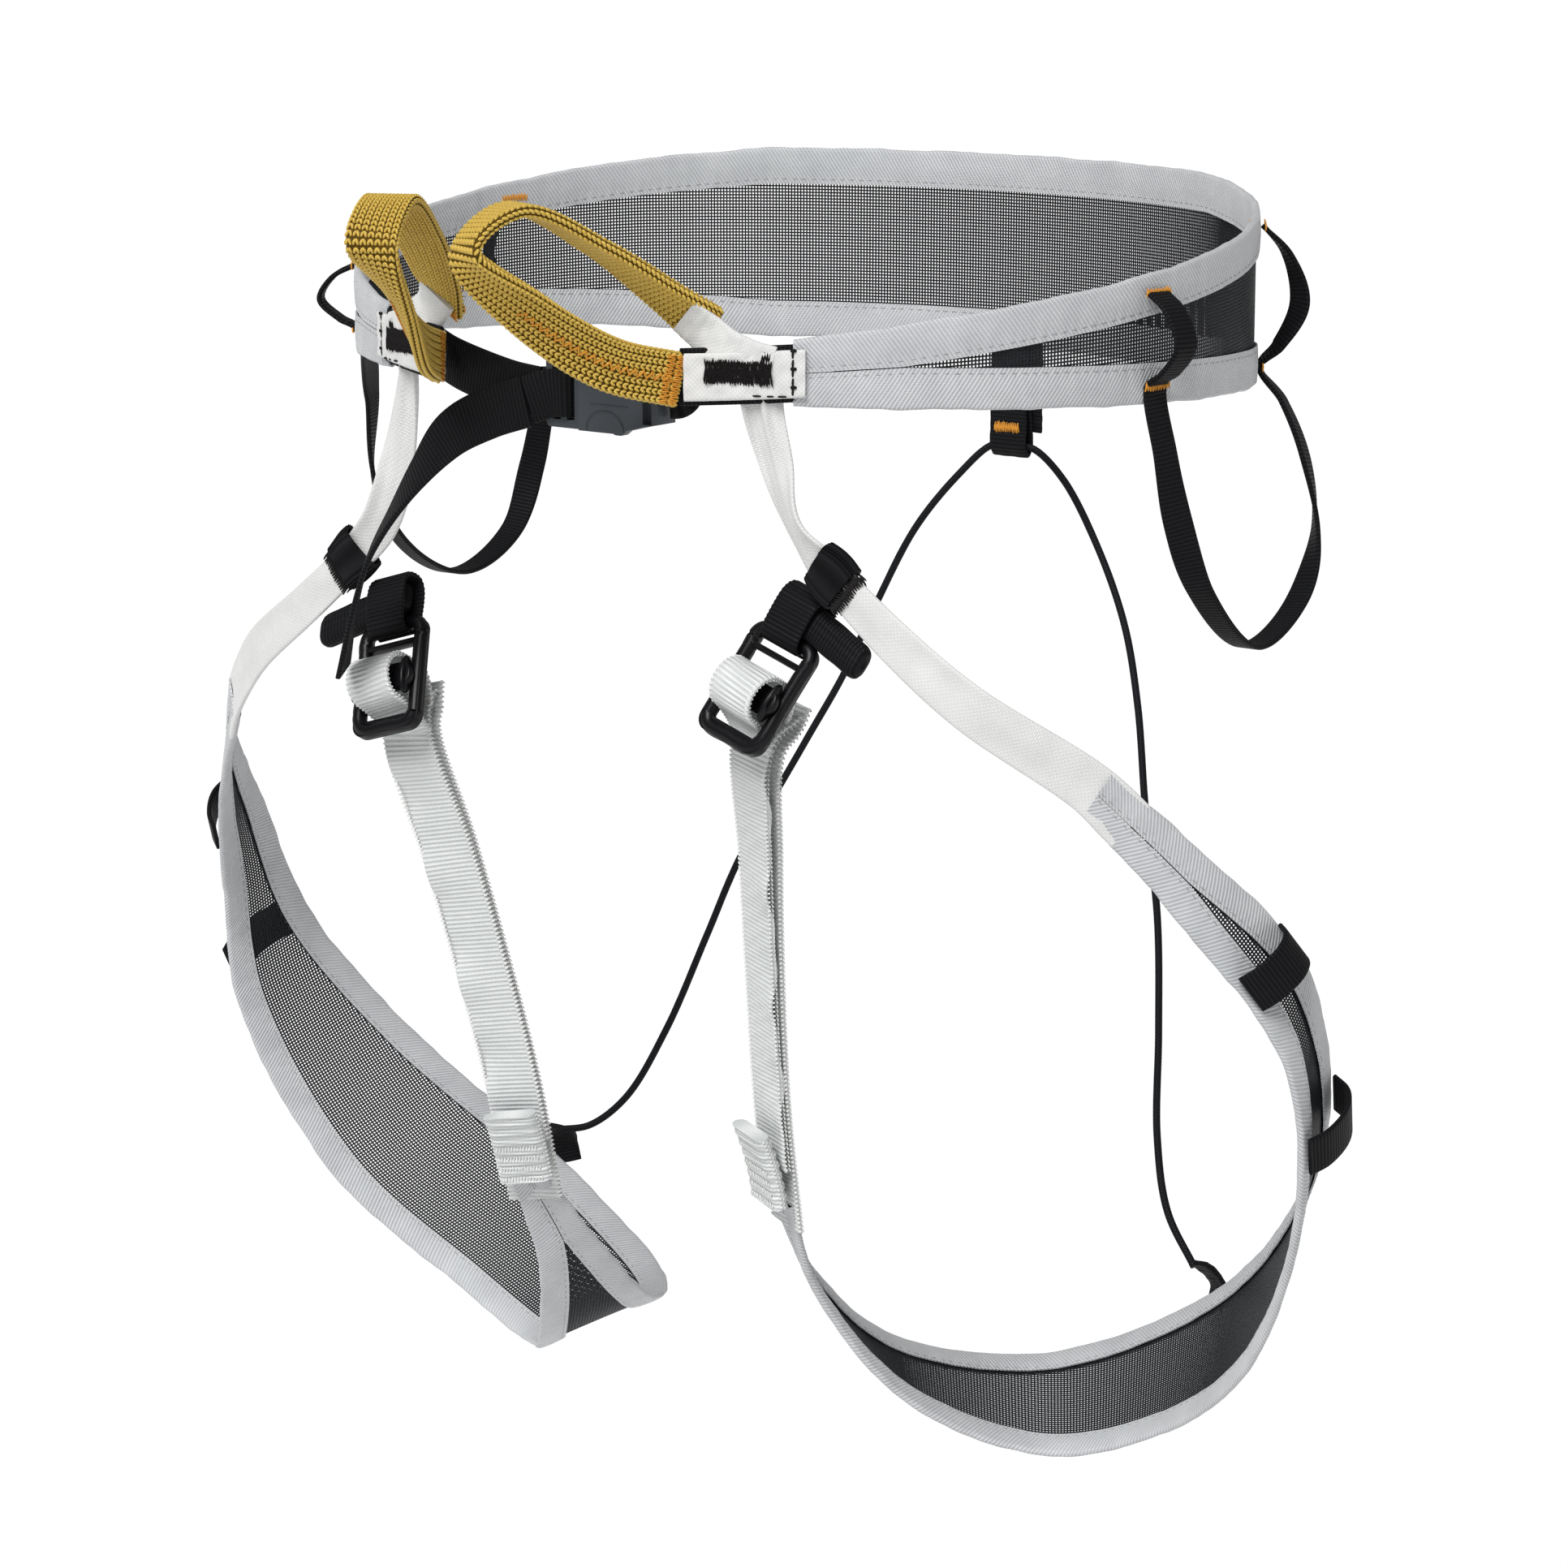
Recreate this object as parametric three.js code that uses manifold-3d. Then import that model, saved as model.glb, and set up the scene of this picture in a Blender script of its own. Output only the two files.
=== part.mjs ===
// A light climbing harness: mesh waist belt, two mesh leg loops, tie-in loops, buckles and gear loops.
// Units are millimetres. +Z is up, -Y is the wearer's front and +X the wearer's left.
// The origin is the centre of the waist opening at mid-height of the belt's back.
import * as THREE from "three";
import { mergeVertices } from "three/addons/utils/BufferGeometryUtils.js";
import Module from "manifold-3d";

// Waist belt: an ellipse seen from above, open at the front.
const WAIST_HALF_WIDTH = 134;
const WAIST_HALF_DEPTH = 112;
const BELT_HEIGHT = 58;
const BELT_TAPER = 64.5; // height lost per unit of reach, past the sides
const BELT_TAPER_START = 0.2;
const BELT_DROP = 12.5; // how far the front ends hang below the back
const BELT_DROP_START = 0.3;
const BELT_END_REACH = 0.8; // 0 is the middle of the back, 1 the middle of the front
const TAB_END_REACH = 0.893;
const TAB_CLEARANCE = 0.003; // of reach, between the belt's end and the tab

// Cloth and webbing.
const GAP = 0.3;
const FOLD_GAP = 0.4; // between the mesh and the tape folded over it
const MESH_THICKNESS = 0.7;
const TAPE_THICKNESS = 0.7;
const TAPE_WIDTH = 11;
const RISER_WIDTH = 12;
const STRAP_WIDTH = 16;
const WEBBING_THICKNESS = 1.5;
const TIE_IN_WIDTH = 14.5;
const TIE_IN_THICKNESS = 3.4;
const TAB_HEIGHT = 13.5;
const TAB_THICKNESS = 4;
const GEAR_WIDTH = 8;
const THIN_WEBBING = 1.4;
const CORD_DIAMETER = 2.2;

// The right leg loop hangs lower at the crotch than the left one.
const RIGHT_LEG_DROP = 12;
const DROP_FRONT_Y = -100;
const DROP_BACK_Y = 40;

const COLOUR = {
  mesh: 0x2a2b2d,
  tape: 0xc8cacb,
  white: 0xededea,
  strap: 0xd8dedd,
  gold: 0xb8902a,
  black: 0x111214,
  buckle: 0x454a50,
  plastic: 0x0c0c0e,
};

const wasm = await Module();
wasm.setup();

const harness = new THREE.Group();

function add(name, geometry, colour, roughness = 0.85) {
  geometry.computeVertexNormals();
  const material = new THREE.MeshStandardMaterial({ color: colour, roughness, metalness: 0 });
  const mesh = new THREE.Mesh(geometry, material);
  mesh.name = name;
  harness.add(mesh);
}

// ---- Booleans -------------------------------------------------------------------------------

function solid(geometry) {
  const bare = geometry.clone();
  bare.deleteAttribute("normal");
  bare.deleteAttribute("uv");
  const merged = mergeVertices(bare, 1e-4);
  return new wasm.Manifold(
    new wasm.Mesh({
      numProp: 3,
      vertProperties: Float32Array.from(merged.getAttribute("position").array),
      triVerts: Uint32Array.from(merged.index.array),
    }),
  );
}

function fromSolid(body) {
  const mesh = body.getMesh();
  const geometry = new THREE.BufferGeometry();
  geometry.setAttribute("position", new THREE.BufferAttribute(Float32Array.from(mesh.vertProperties), 3));
  geometry.setIndex(new THREE.BufferAttribute(Uint32Array.from(mesh.triVerts), 1));
  return geometry;
}

function cut(geometry, ...tools) {
  return fromSolid(tools.reduce((body, tool) => body.subtract(solid(tool)), solid(geometry)));
}

function join(geometry, ...others) {
  return fromSolid(others.reduce((body, other) => body.add(solid(other)), solid(geometry)));
}

// ---- Sections, each in the plane of (across the webbing, out of the webbing) ------------------

function rectangle(width, height, x = 0, y = 0) {
  const shape = new THREE.Shape();
  shape.moveTo(x - width / 2, y - height / 2);
  shape.lineTo(x + width / 2, y - height / 2);
  shape.lineTo(x + width / 2, y + height / 2);
  shape.lineTo(x - width / 2, y + height / 2);
  shape.closePath();
  return shape;
}

// A unit-wide rectangle with extra corners along its length, so that it can be twisted smoothly.
function panelSection() {
  const half = MESH_THICKNESS / 2;
  const columns = [-0.5, -0.38, -0.25, 0, 0.25, 0.38, 0.5];
  const shape = new THREE.Shape();
  shape.moveTo(columns[0], -half);
  columns.slice(1).forEach((x) => shape.lineTo(x, -half));
  columns.toReversed().forEach((x) => shape.lineTo(x, half));
  shape.closePath();
  return shape;
}

function roundedRectangle(width, height, radius, x = 0, y = 0) {
  const [w, h] = [width / 2 - radius, height / 2 - radius];
  const shape = new THREE.Shape();
  shape.absarc(x + w, y - h, radius, -Math.PI / 2, 0);
  shape.absarc(x + w, y + h, radius, 0, Math.PI / 2);
  shape.absarc(x - w, y + h, radius, Math.PI / 2, Math.PI);
  shape.absarc(x - w, y - h, radius, Math.PI, 1.5 * Math.PI);
  shape.closePath();
  return shape;
}

function foldedTape(reach) {
  const inside = MESH_THICKNESS / 2 + FOLD_GAP;
  const outside = inside + TAPE_THICKNESS;
  const shape = new THREE.Shape();
  shape.moveTo(0, -outside);
  shape.lineTo(reach, -outside);
  shape.lineTo(reach, -inside);
  shape.lineTo(TAPE_THICKNESS, -inside);
  shape.lineTo(TAPE_THICKNESS, inside);
  shape.lineTo(reach, inside);
  shape.lineTo(reach, outside);
  shape.lineTo(0, outside);
  shape.closePath();
  return shape;
}

// ---- Webbing: a section drawn straight, then laid along a route -------------------------------

function sweep(section, steps, frameAt) {
  const settings = { depth: 1, steps, bevelEnabled: false, curveSegments: 2 };
  const geometry = new THREE.ExtrudeGeometry(section, settings);
  const position = geometry.getAttribute("position");
  for (let i = 0; i < position.count; i++) {
    const { origin, across, normal } = frameAt(position.getZ(i));
    const point = origin.clone();
    point.addScaledVector(across, position.getX(i));
    point.addScaledVector(normal, position.getY(i));
    position.setXYZ(i, point.x, point.y, point.z);
  }
  return geometry;
}

function curveThrough(points) {
  return new THREE.CatmullRomCurve3(points.map((p) => new THREE.Vector3(...p)), false, "centripetal");
}

// The frame of a strap: its middle follows `route`, and its width lies along `lie`.
function strapFrame(route, lie) {
  const middle = curveThrough(route);
  const widths = curveThrough(lie);
  return (t) => {
    const origin = middle.getPoint(t);
    const along = middle.getTangent(t);
    const across = widths.getPoint(t);
    across.addScaledVector(along, -across.dot(along)).normalize();
    return { origin, across, normal: new THREE.Vector3().crossVectors(along, across) };
  };
}

function offsetFrame(frameAt, offsetAt, from = 0, to = 1) {
  return (t) => {
    const frame = frameAt(from + (to - from) * t);
    frame.origin.addScaledVector(frame.normal, offsetAt(t));
    return frame;
  };
}

function strap(route, lie, width, thickness, steps = 12) {
  return sweep(rectangle(width, thickness), steps, strapFrame(route, lie));
}

function tube(route, diameter, steps, sides = 8) {
  const shape = new THREE.Shape();
  for (let i = 0; i < sides; i++) {
    const angle = (2 * Math.PI * i) / sides;
    const corner = [(diameter / 2) * Math.cos(angle), (diameter / 2) * Math.sin(angle)];
    if (i === 0) shape.moveTo(...corner);
    else shape.lineTo(...corner);
  }
  shape.closePath();
  return new THREE.ExtrudeGeometry(shape, { steps, extrudePath: curveThrough(route) });
}

// ---- Waist belt -------------------------------------------------------------------------------

const beltHeight = (reach) => BELT_HEIGHT - BELT_TAPER * Math.max(0, reach - BELT_TAPER_START);

function beltMiddle(reach) {
  const past = Math.max(0, reach - BELT_DROP_START) / (TAB_END_REACH - BELT_DROP_START);
  return -3 - BELT_DROP * past ** 1.3;
}

// `turn` runs from -1 at the wearer's left front through 0 at the back to 1 at the right front.
function beltPoint(turn, side, outward = 0) {
  const reach = Math.abs(turn);
  const angle = Math.PI / 2 + turn * Math.PI;
  return new THREE.Vector3(
    (WAIST_HALF_WIDTH + outward) * Math.cos(angle),
    (WAIST_HALF_DEPTH + outward) * Math.sin(angle),
    beltMiddle(reach) + (side * beltHeight(reach)) / 2,
  );
}

function beltOutward(turn) {
  const angle = Math.PI / 2 + turn * Math.PI;
  const [x, y] = [WAIST_HALF_DEPTH * Math.cos(angle), WAIST_HALF_WIDTH * Math.sin(angle)];
  return new THREE.Vector3(x, y, 0).normalize();
}

// `side` is 0 for the middle of the belt's height, 1 for its top edge and -1 for its bottom edge.
function beltFrame(side, scaleAt, from = -BELT_END_REACH, to = BELT_END_REACH) {
  return (t) => {
    const turn = from + (to - from) * t;
    const scale = scaleAt(Math.abs(turn));
    const turned = side > 0 ? -1 : 1;
    return {
      origin: beltPoint(turn, side),
      across: new THREE.Vector3(0, 0, turned * scale),
      normal: beltOutward(turn).multiplyScalar(turned),
    };
  };
}

const foldScale = (width, reach) => Math.min(1, (width / 2 - GAP / 2) / reach);

function addBelt() {
  const inset = 2 * (TAPE_THICKNESS + GAP);
  const panelScale = (reach) => beltHeight(reach) - inset;
  add("belt_panel", sweep(rectangle(1, MESH_THICKNESS), 44, beltFrame(0, panelScale)), COLOUR.mesh);
  const tapeScale = (reach) => foldScale(beltHeight(reach), TAPE_WIDTH);
  for (const [name, side] of [["belt_binding_top", 1], ["belt_binding_bottom", -1]]) {
    add(name, sweep(foldedTape(TAPE_WIDTH), 44, beltFrame(side, tapeScale)), COLOUR.tape);
  }
}

// The tie-in tab is the stack of webbing where belt, riser and tie-in loop are sewn together.
function addTieInTab(name, hand) {
  const from = BELT_END_REACH + TAB_CLEARANCE;
  const frame = beltFrame(0, () => TAB_HEIGHT, hand * from, hand * TAB_END_REACH);
  const ordered = hand > 0 ? frame : (t) => frame(1 - t);
  add(name, sweep(rectangle(1, TAB_THICKNESS), 5, ordered), COLOUR.white);
}

// ---- Pieces drawn for the wearer's left side, then placed on either side ----------------------

function legDrop(y, z) {
  const share = THREE.MathUtils.clamp((DROP_BACK_Y - y) / (DROP_BACK_Y - DROP_FRONT_Y), 0, 1);
  const clearOfTab = THREE.MathUtils.smoothstep(-z, 24, 62);
  return -RIGHT_LEG_DROP * share * clearOfTab;
}

function mirrored(geometry, dropAt) {
  const flipped = geometry.index ? geometry.toNonIndexed() : geometry.clone();
  const position = flipped.getAttribute("position");
  const corners = [];
  for (let i = 0; i < position.count; i++) {
    const [x, y, z] = [position.getX(i), position.getY(i), position.getZ(i)];
    corners.push([-x, y, z + dropAt(y, z)]);
  }
  for (let i = 0; i < position.count; i += 3) {
    [0, 2, 1].forEach((from, to) => position.setXYZ(i + to, ...corners[i + from]));
  }
  return flipped;
}

function addPair(name, geometry, colour, dropAt = () => 0, roughness = 0.85) {
  add(name + "_left", geometry, colour, roughness);
  add(name + "_right", mirrored(geometry, dropAt), colour, roughness);
}

// ---- Tie-in loops -----------------------------------------------------------------------------

const TIE_IN_ROUTE = [
  [41.6, -107.6, -16.5], [32, -126, -11], [22, -146, 3], [16, -163, 20],
  [21, -150, 30], [31, -128, 19], [40, -110, 5], [45, -101, -2.6],
];
const TIE_IN_LIE = [
  [0, 0, 1], [0.3, 0.1, 1], [0.7, 0, 0.7], [0.9, -0.4, 0.2],
  [0.9, -0.45, 0], [0.9, -0.4, 0.1], [0.8, -0.2, 0.3], [0.8, 0.1, 0.45],
];

// ---- Gear loops -------------------------------------------------------------------------------

const GEAR_ROUTE_LEFT = [
  [134, -19, -26.2], [136, -20, -38], [139, -18, -56], [141, -9, -76], [142, 15, -94],
  [142, 40, -84], [141, 50, -66], [136, 50, -46], [126, 46.5, -29.8],
];
const GEAR_ROUTE_RIGHT = [
  [-134, -22, -26.2], [-137, -29, -42], [-138, -28, -66], [-139, -14, -89], [-139, 12, -101],
  [-139, 37, -91], [-139, 47, -72], [-136, 49, -50], [-126, 46.5, -29.8],
];
const GEAR_LIE = [
  [0, 1, 0], [0.3, 1, 0], [0.7, 0.7, 0.1], [1, 0.2, 0], [1, 0, 0],
  [1, 0, 0.2], [0.6, -0.7, 0], [0.2, -1, 0], [0, -1, 0],
];

function addGearLoops() {
  const lieRight = GEAR_LIE.map(([x, y, z]) => [-x, y, z]);
  add("gear_loop_left", strap(GEAR_ROUTE_LEFT, GEAR_LIE, GEAR_WIDTH, THIN_WEBBING, 22), COLOUR.black);
  add("gear_loop_right", strap(GEAR_ROUTE_RIGHT, lieRight, GEAR_WIDTH, THIN_WEBBING, 22), COLOUR.black);
}

// Turns round the belt, on the left and on the right.
const GEAR_STRAPS = [["gear_strap_front", -0.56, 0.66], ["gear_strap_rear", -0.34, 0.42]];
const GEAR_BULGE = 12;
const GEAR_STRAP_INSET = 5; // from the belt's edges

// The same webbing runs on up the outside of the belt, standing proud of it.
function gearStrap(turn, bulge) {
  const reach = Math.abs(turn);
  const half = beltHeight(reach) / 2 - GEAR_STRAP_INSET;
  const [top, bottom] = [beltMiddle(reach) + half, beltMiddle(reach) - half];
  const rise = (share, outward) => {
    const foot = beltPoint(turn, 0, outward);
    return [foot.x, foot.y, bottom + share * (top - bottom)];
  };
  const profile = [[1, 2.6], [0.8, 0.7 * bulge], [0.45, bulge], [0.15, 0.6 * bulge], [0, 2.8]];
  const route = profile.map(([share, outward]) => rise(share, outward));
  const outward = beltOutward(turn);
  const lie = route.map(() => [-outward.y, outward.x, 0]);
  return strap(route, lie, GEAR_WIDTH, THIN_WEBBING, 12);
}

// ---- Waist strap and its side-release buckle --------------------------------------------------

const BUCKLE_CENTRE = [14, -104, -23];
const BUCKLE_SPLIT = -7; // where the two halves meet, along the buckle
const FEMALE_LENGTH = 27;
const FEMALE_HEIGHT = 19;
const FEMALE_THICKNESS = 7.6;
const SOCKET_HEIGHT = 14.6;
const SOCKET_THICKNESS = 4;
const SOCKET_DEPTH = 19;
const BUTTON_WINDOW = [18, 8]; // open to the mouth, one at each side
const FEMALE_SLOT = 3;
const FEMALE_BAR = 2.1; // behind the strap's slot
const LADDER_LENGTH = 12;
const LADDER_HEIGHT = 19;
const LADDER_THICKNESS = 4.6;
const LADDER_SLOT = [2.6, 14.4];
const LADDER_SLOT_OFFSET = 2.4;
const GUIDE = [13, 2.6, 3.2];
const ARM_THICKNESS = 3.2;
const WAIST_STRAP_WIDTH = 14;

function plate(shape, thickness, segments = 3) {
  const settings = { depth: thickness, bevelEnabled: false, curveSegments: segments };
  return new THREE.ExtrudeGeometry(shape, settings).translate(0, 0, -thickness / 2);
}

function box(width, height, depth, x = 0, y = 0, z = 0) {
  return new THREE.BoxGeometry(width, height, depth).translate(x, y, z);
}

// Buckle pieces are drawn with x along the strap, y up and z towards the front, then stood up.
function placeBuckle(geometry) {
  const stand = new THREE.Matrix4().makeBasis(
    new THREE.Vector3(1, 0, 0),
    new THREE.Vector3(0, 0, 1),
    new THREE.Vector3(0, -1, 0),
  );
  return geometry.applyMatrix4(stand.setPosition(...BUCKLE_CENTRE));
}

function femaleOutline() {
  const half = FEMALE_HEIGHT / 2;
  const end = BUCKLE_SPLIT + FEMALE_LENGTH;
  const shape = new THREE.Shape();
  shape.moveTo(BUCKLE_SPLIT, -half);
  shape.lineTo(BUCKLE_SPLIT + 12, -half);
  shape.quadraticCurveTo(end - 8, -half + 2, end, -half + 3.5);
  shape.lineTo(end, half - 3.5);
  shape.quadraticCurveTo(end - 8, half - 2, BUCKLE_SPLIT + 12, half);
  shape.lineTo(BUCKLE_SPLIT, half);
  shape.closePath();
  return shape;
}

function addBuckle() {
  const half = FEMALE_HEIGHT / 2;
  const overshoot = 1; // cutting tools reach past the face they open
  const socketMiddle = BUCKLE_SPLIT + (SOCKET_DEPTH - overshoot) / 2;
  const socket = box(SOCKET_DEPTH + overshoot, SOCKET_HEIGHT, SOCKET_THICKNESS, socketMiddle);
  const [windowLength, windowHeight] = BUTTON_WINDOW;
  const windowMiddle = BUCKLE_SPLIT + windowLength / 2 - 1.6 * overshoot;
  const windowAt = (s) => box(windowLength, windowHeight, SOCKET_THICKNESS, windowMiddle, s * half);
  const slotMiddle = BUCKLE_SPLIT + FEMALE_LENGTH - FEMALE_BAR - FEMALE_SLOT / 2;
  const strapSlot = box(FEMALE_SLOT, WAIST_STRAP_WIDTH - 1.6, 2 * FEMALE_HEIGHT, slotMiddle);
  const female = cut(plate(femaleOutline(), FEMALE_THICKNESS), socket, windowAt(1), windowAt(-1), strapSlot);
  add("buckle_female", placeBuckle(female), COLOUR.buckle, 0.45);

  const ladderMiddle = BUCKLE_SPLIT - GAP - LADDER_LENGTH / 2;
  const ladderOutline = roundedRectangle(LADDER_LENGTH, LADDER_HEIGHT, 1.5, ladderMiddle, 0);
  const slotAt = (s) => box(...LADDER_SLOT, 2 * LADDER_THICKNESS, ladderMiddle + s * LADDER_SLOT_OFFSET);
  const ladder = cut(plate(ladderOutline, LADDER_THICKNESS), slotAt(-1), slotAt(1));
  const guide = box(...GUIDE, BUCKLE_SPLIT + GUIDE[0] / 2 - 0.9);
  add("buckle_male", placeBuckle(join(ladder, guide)), COLOUR.buckle, 0.45);

  for (const [name, s] of [["buckle_arm_upper", 1], ["buckle_arm_lower", -1]]) {
    const shape = new THREE.Shape();
    shape.moveTo(BUCKLE_SPLIT + 0.3, s * 4.2);
    shape.lineTo(BUCKLE_SPLIT + 7, s * 4.6);
    shape.lineTo(BUCKLE_SPLIT + 15.2, s * 6.4);
    shape.lineTo(BUCKLE_SPLIT + 15.2, s * 8.4);
    shape.quadraticCurveTo(BUCKLE_SPLIT + 11.6, s * 12.6, BUCKLE_SPLIT + 8, s * 8.4);
    shape.lineTo(BUCKLE_SPLIT + 6, s * 6.8);
    shape.lineTo(BUCKLE_SPLIT + 0.3, s * 6.4);
    shape.closePath();
    add(name, placeBuckle(plate(shape, ARM_THICKNESS)), COLOUR.buckle, 0.45);
  }
}

const UPRIGHT = [0, 0, 1];
const TAIL_ROUTE = [
  [-10, -109, -26], [-22, -110.5, -30], [-33, -113, -36], [-42, -116.5, -47],
  [-51, -119.5, -61], [-57, -121, -72], [-62, -121.5, -86], [-67, -121, -104],
];
const TAIL_LIE = [
  [0, 0.1, 1], [-0.1, 0.1, 1], [-0.25, 0.25, 0.9], [-0.45, 0.55, 0.6],
  [-0.55, 0.75, 0.25], [-0.6, 0.8, 0.1], [-0.6, 0.8, 0], [-0.5, 0.85, 0],
];

function addWaistStraps() {
  const inner = -101.6;
  const left = [[34.8, -103.6, -21.6], [37, -102.9, -21.4], [40, inner, -18], [56, -94.6, -15.6]];
  const right = [[-9.2, -104, -24], [-20, -103.2, -23], [-40, inner + 0.4, -19], [-56, -94.6, -15.6]];
  const leftStrap = strap(left, left.map(() => UPRIGHT), WAIST_STRAP_WIDTH - 2, THIN_WEBBING, 8);
  const rightStrap = strap(right, right.map(() => UPRIGHT), WAIST_STRAP_WIDTH, THIN_WEBBING, 10);
  add("waist_strap_left", leftStrap, COLOUR.black);
  add("waist_strap_right", rightStrap, COLOUR.black);
  add("waist_strap_tail", strap(TAIL_ROUTE, TAIL_LIE, WAIST_STRAP_WIDTH, THIN_WEBBING, 20), COLOUR.black);
}

// ---- Back of the belt: hanging tab and the elastic cord through it ----------------------------

const CORD_LEFT = [
  [0.3, 107.8, -61.6], [7.5, 108, -61.8], [15, 113, -71], [26, 115, -90], [41, 108, -112],
  [52, 99, -134], [65, 84, -162], [78, 71, -190], [88, 57, -220], [97, 43, -247],
  [106, 35, -266], [117.5, 31.5, -279.5],
];
const CORD_RIGHT = [
  [-0.3, 107.8, -61.6], [-7.5, 107.5, -61.8], [-16, 102, -71], [-26, 94, -87], [-36, 88, -110],
  [-45, 83, -133], [-55, 76, -155], [-72, 65, -192], [-80, 59, -216], [-91, 52, -247],
  [-101, 44, -269], [-110, 37, -278], [-117.5, 31.5, -279.5],
];

const REAR_TAB_WIDTH = 14;
const REAR_TAB_HEIGHT = 34;
const REAR_TAB_THICKNESS = 4.8;
const REAR_TAB_MIDDLE = -48;
const REAR_TAB_INSET = 4.2; // its middle lies this far inside the belt
const CORD_HOLE = [4.4, 3.2];
const CORD_HOLE_DROP = 13.4; // below the tab's middle

function addBack() {
  const inside = WAIST_HALF_DEPTH - REAR_TAB_INSET;
  const ring = rectangle(REAR_TAB_HEIGHT, REAR_TAB_THICKNESS);
  ring.holes.push(new THREE.Path(rectangle(...CORD_HOLE, -CORD_HOLE_DROP, 0).getPoints()));
  const route = [-1, 1].map((s) => [(s * REAR_TAB_WIDTH) / 2, inside, REAR_TAB_MIDDLE]);
  const lie = [[0, 0, 1], [0, 0, 1]];
  add("rear_tab", sweep(ring, 1, strapFrame(route, lie)), COLOUR.black);
  add("elastic_cord_left", tube(CORD_LEFT, CORD_DIAMETER, 56), COLOUR.black);
  add("elastic_cord_right", tube(CORD_RIGHT, CORD_DIAMETER, 56), COLOUR.black);
}

// ---- Leg loops --------------------------------------------------------------------------------

// Both edges of the leg panel, from the outer hip round the back of the thigh to the crotch.
const LOWER_EDGE = [
  [149, -77, -124], [172, -61, -156], [190, -42, -192], [191, -35, -232], [167, -20, -286],
  [129, -8, -317], [95, -13, -328], [68, -39, -311], [51, -60, -276], [51, -71, -249],
];
const UPPER_EDGE = [
  [155, -73, -113], [172, -55, -135], [186, -28, -166], [184, -9, -207], [162, 13, -248],
  [120, 34, -289], [72, 25, -313], [45, -14, -303], [38, -44, -277], [40.5, -66, -249],
];
const RISER_ROUTE = [
  [58, -98.5, -24.6], [65, -97, -38], [72, -98, -54], [85, -98, -66.5],
  [103, -97, -81], [125, -93, -97], [150.6, -76, -117],
];
const RISER_LIE = [
  [0.93, 0.36, 0], [0.85, 0, 0.2], [0.7, -0.6, 0.4], [0.55, 0.05, 0.83],
  [0.5, 0.1, 0.85], [0.45, 0.15, 0.85], [0.4, 0.3, 0.85],
];
const LEG_STEPS = 34;
const LEG_TAPE_WIDTH = 8.5;
const LEG_BANDS = [["leg_band_upper", 0.165], ["leg_band_lower", 0.29]]; // shares of the panel's length
const LEG_BAND_WIDTH = 12;
const LEG_BAND_BULGE = 8;
const LEG_BAND_SEWN = 2.9; // how far out the band's ends lie, on the tape
const STRAP_END_LENGTH = 0.15; // the folded end of the adjuster strap, as a share of its route
const STRAP_END_THICKNESS = 4.6;
const KEEPER_THICKNESS = 4.8;
const KEEPER_START = 0.435;
const KEEPER_END = 0.525;
const STRAP_ROUTE = [
  [45.8, -68, -247], [47, -74, -218], [51, -82, -181], [56, -90, -145], [61.4, -97.4, -113],
];
const STRAP_LIE = [
  [-0.91, 0.4, 0], [-0.91, 0.4, 0], [-0.91, 0.4, 0], [-0.91, 0.35, 0.1], [-0.93, 0.2, 0.2],
];

const CORD_TAB_ROUTE = [[119, 34.5, -281], [121.5, 38, -285.5], [120.5, 38.5, -292]];

function edgeFrame(edge, sign) {
  const [lower, upper] = [curveThrough(LOWER_EDGE), curveThrough(UPPER_EDGE)];
  return (t) => {
    const [low, high] = [lower.getPointAt(t), upper.getPointAt(t)];
    const width = high.distanceTo(low);
    const across = high.clone().sub(low).divideScalar(width);
    const middleAhead = lower.getTangentAt(t).add(upper.getTangentAt(t));
    const normal = new THREE.Vector3().crossVectors(middleAhead, across).normalize();
    const inset = TAPE_THICKNESS + GAP;
    if (edge === "panel") {
      const middle = low.add(high).multiplyScalar(0.5);
      return { origin: middle, across: across.multiplyScalar(width - 2 * inset), normal };
    }
    across.multiplyScalar(foldScale(width, LEG_TAPE_WIDTH) * sign);
    return { origin: sign > 0 ? low : high, across, normal: normal.multiplyScalar(sign) };
  };
}

// An elastic loop lies across the outside of the leg panel and bulges away from it.
function legBand(at) {
  const panel = edgeFrame("panel", 1)(at);
  const half = panel.across.length() / 2;
  const across = panel.across.clone().normalize();
  const place = (share, proud) => {
    const point = panel.origin.clone().addScaledVector(across, share * half);
    return point.addScaledVector(panel.normal, proud).toArray();
  };
  const shoulder = 0.75 * LEG_BAND_BULGE;
  const foot = LEG_BAND_SEWN;
  const profile = [[-0.96, foot], [-0.5, shoulder], [0.1, LEG_BAND_BULGE], [0.6, shoulder], [0.96, foot]];
  const route = profile.map(([share, proud]) => place(share, proud));
  const along = new THREE.Vector3().crossVectors(across, panel.normal).toArray();
  return strap(route, route.map(() => along), LEG_BAND_WIDTH, THIN_WEBBING, 10);
}

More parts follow.
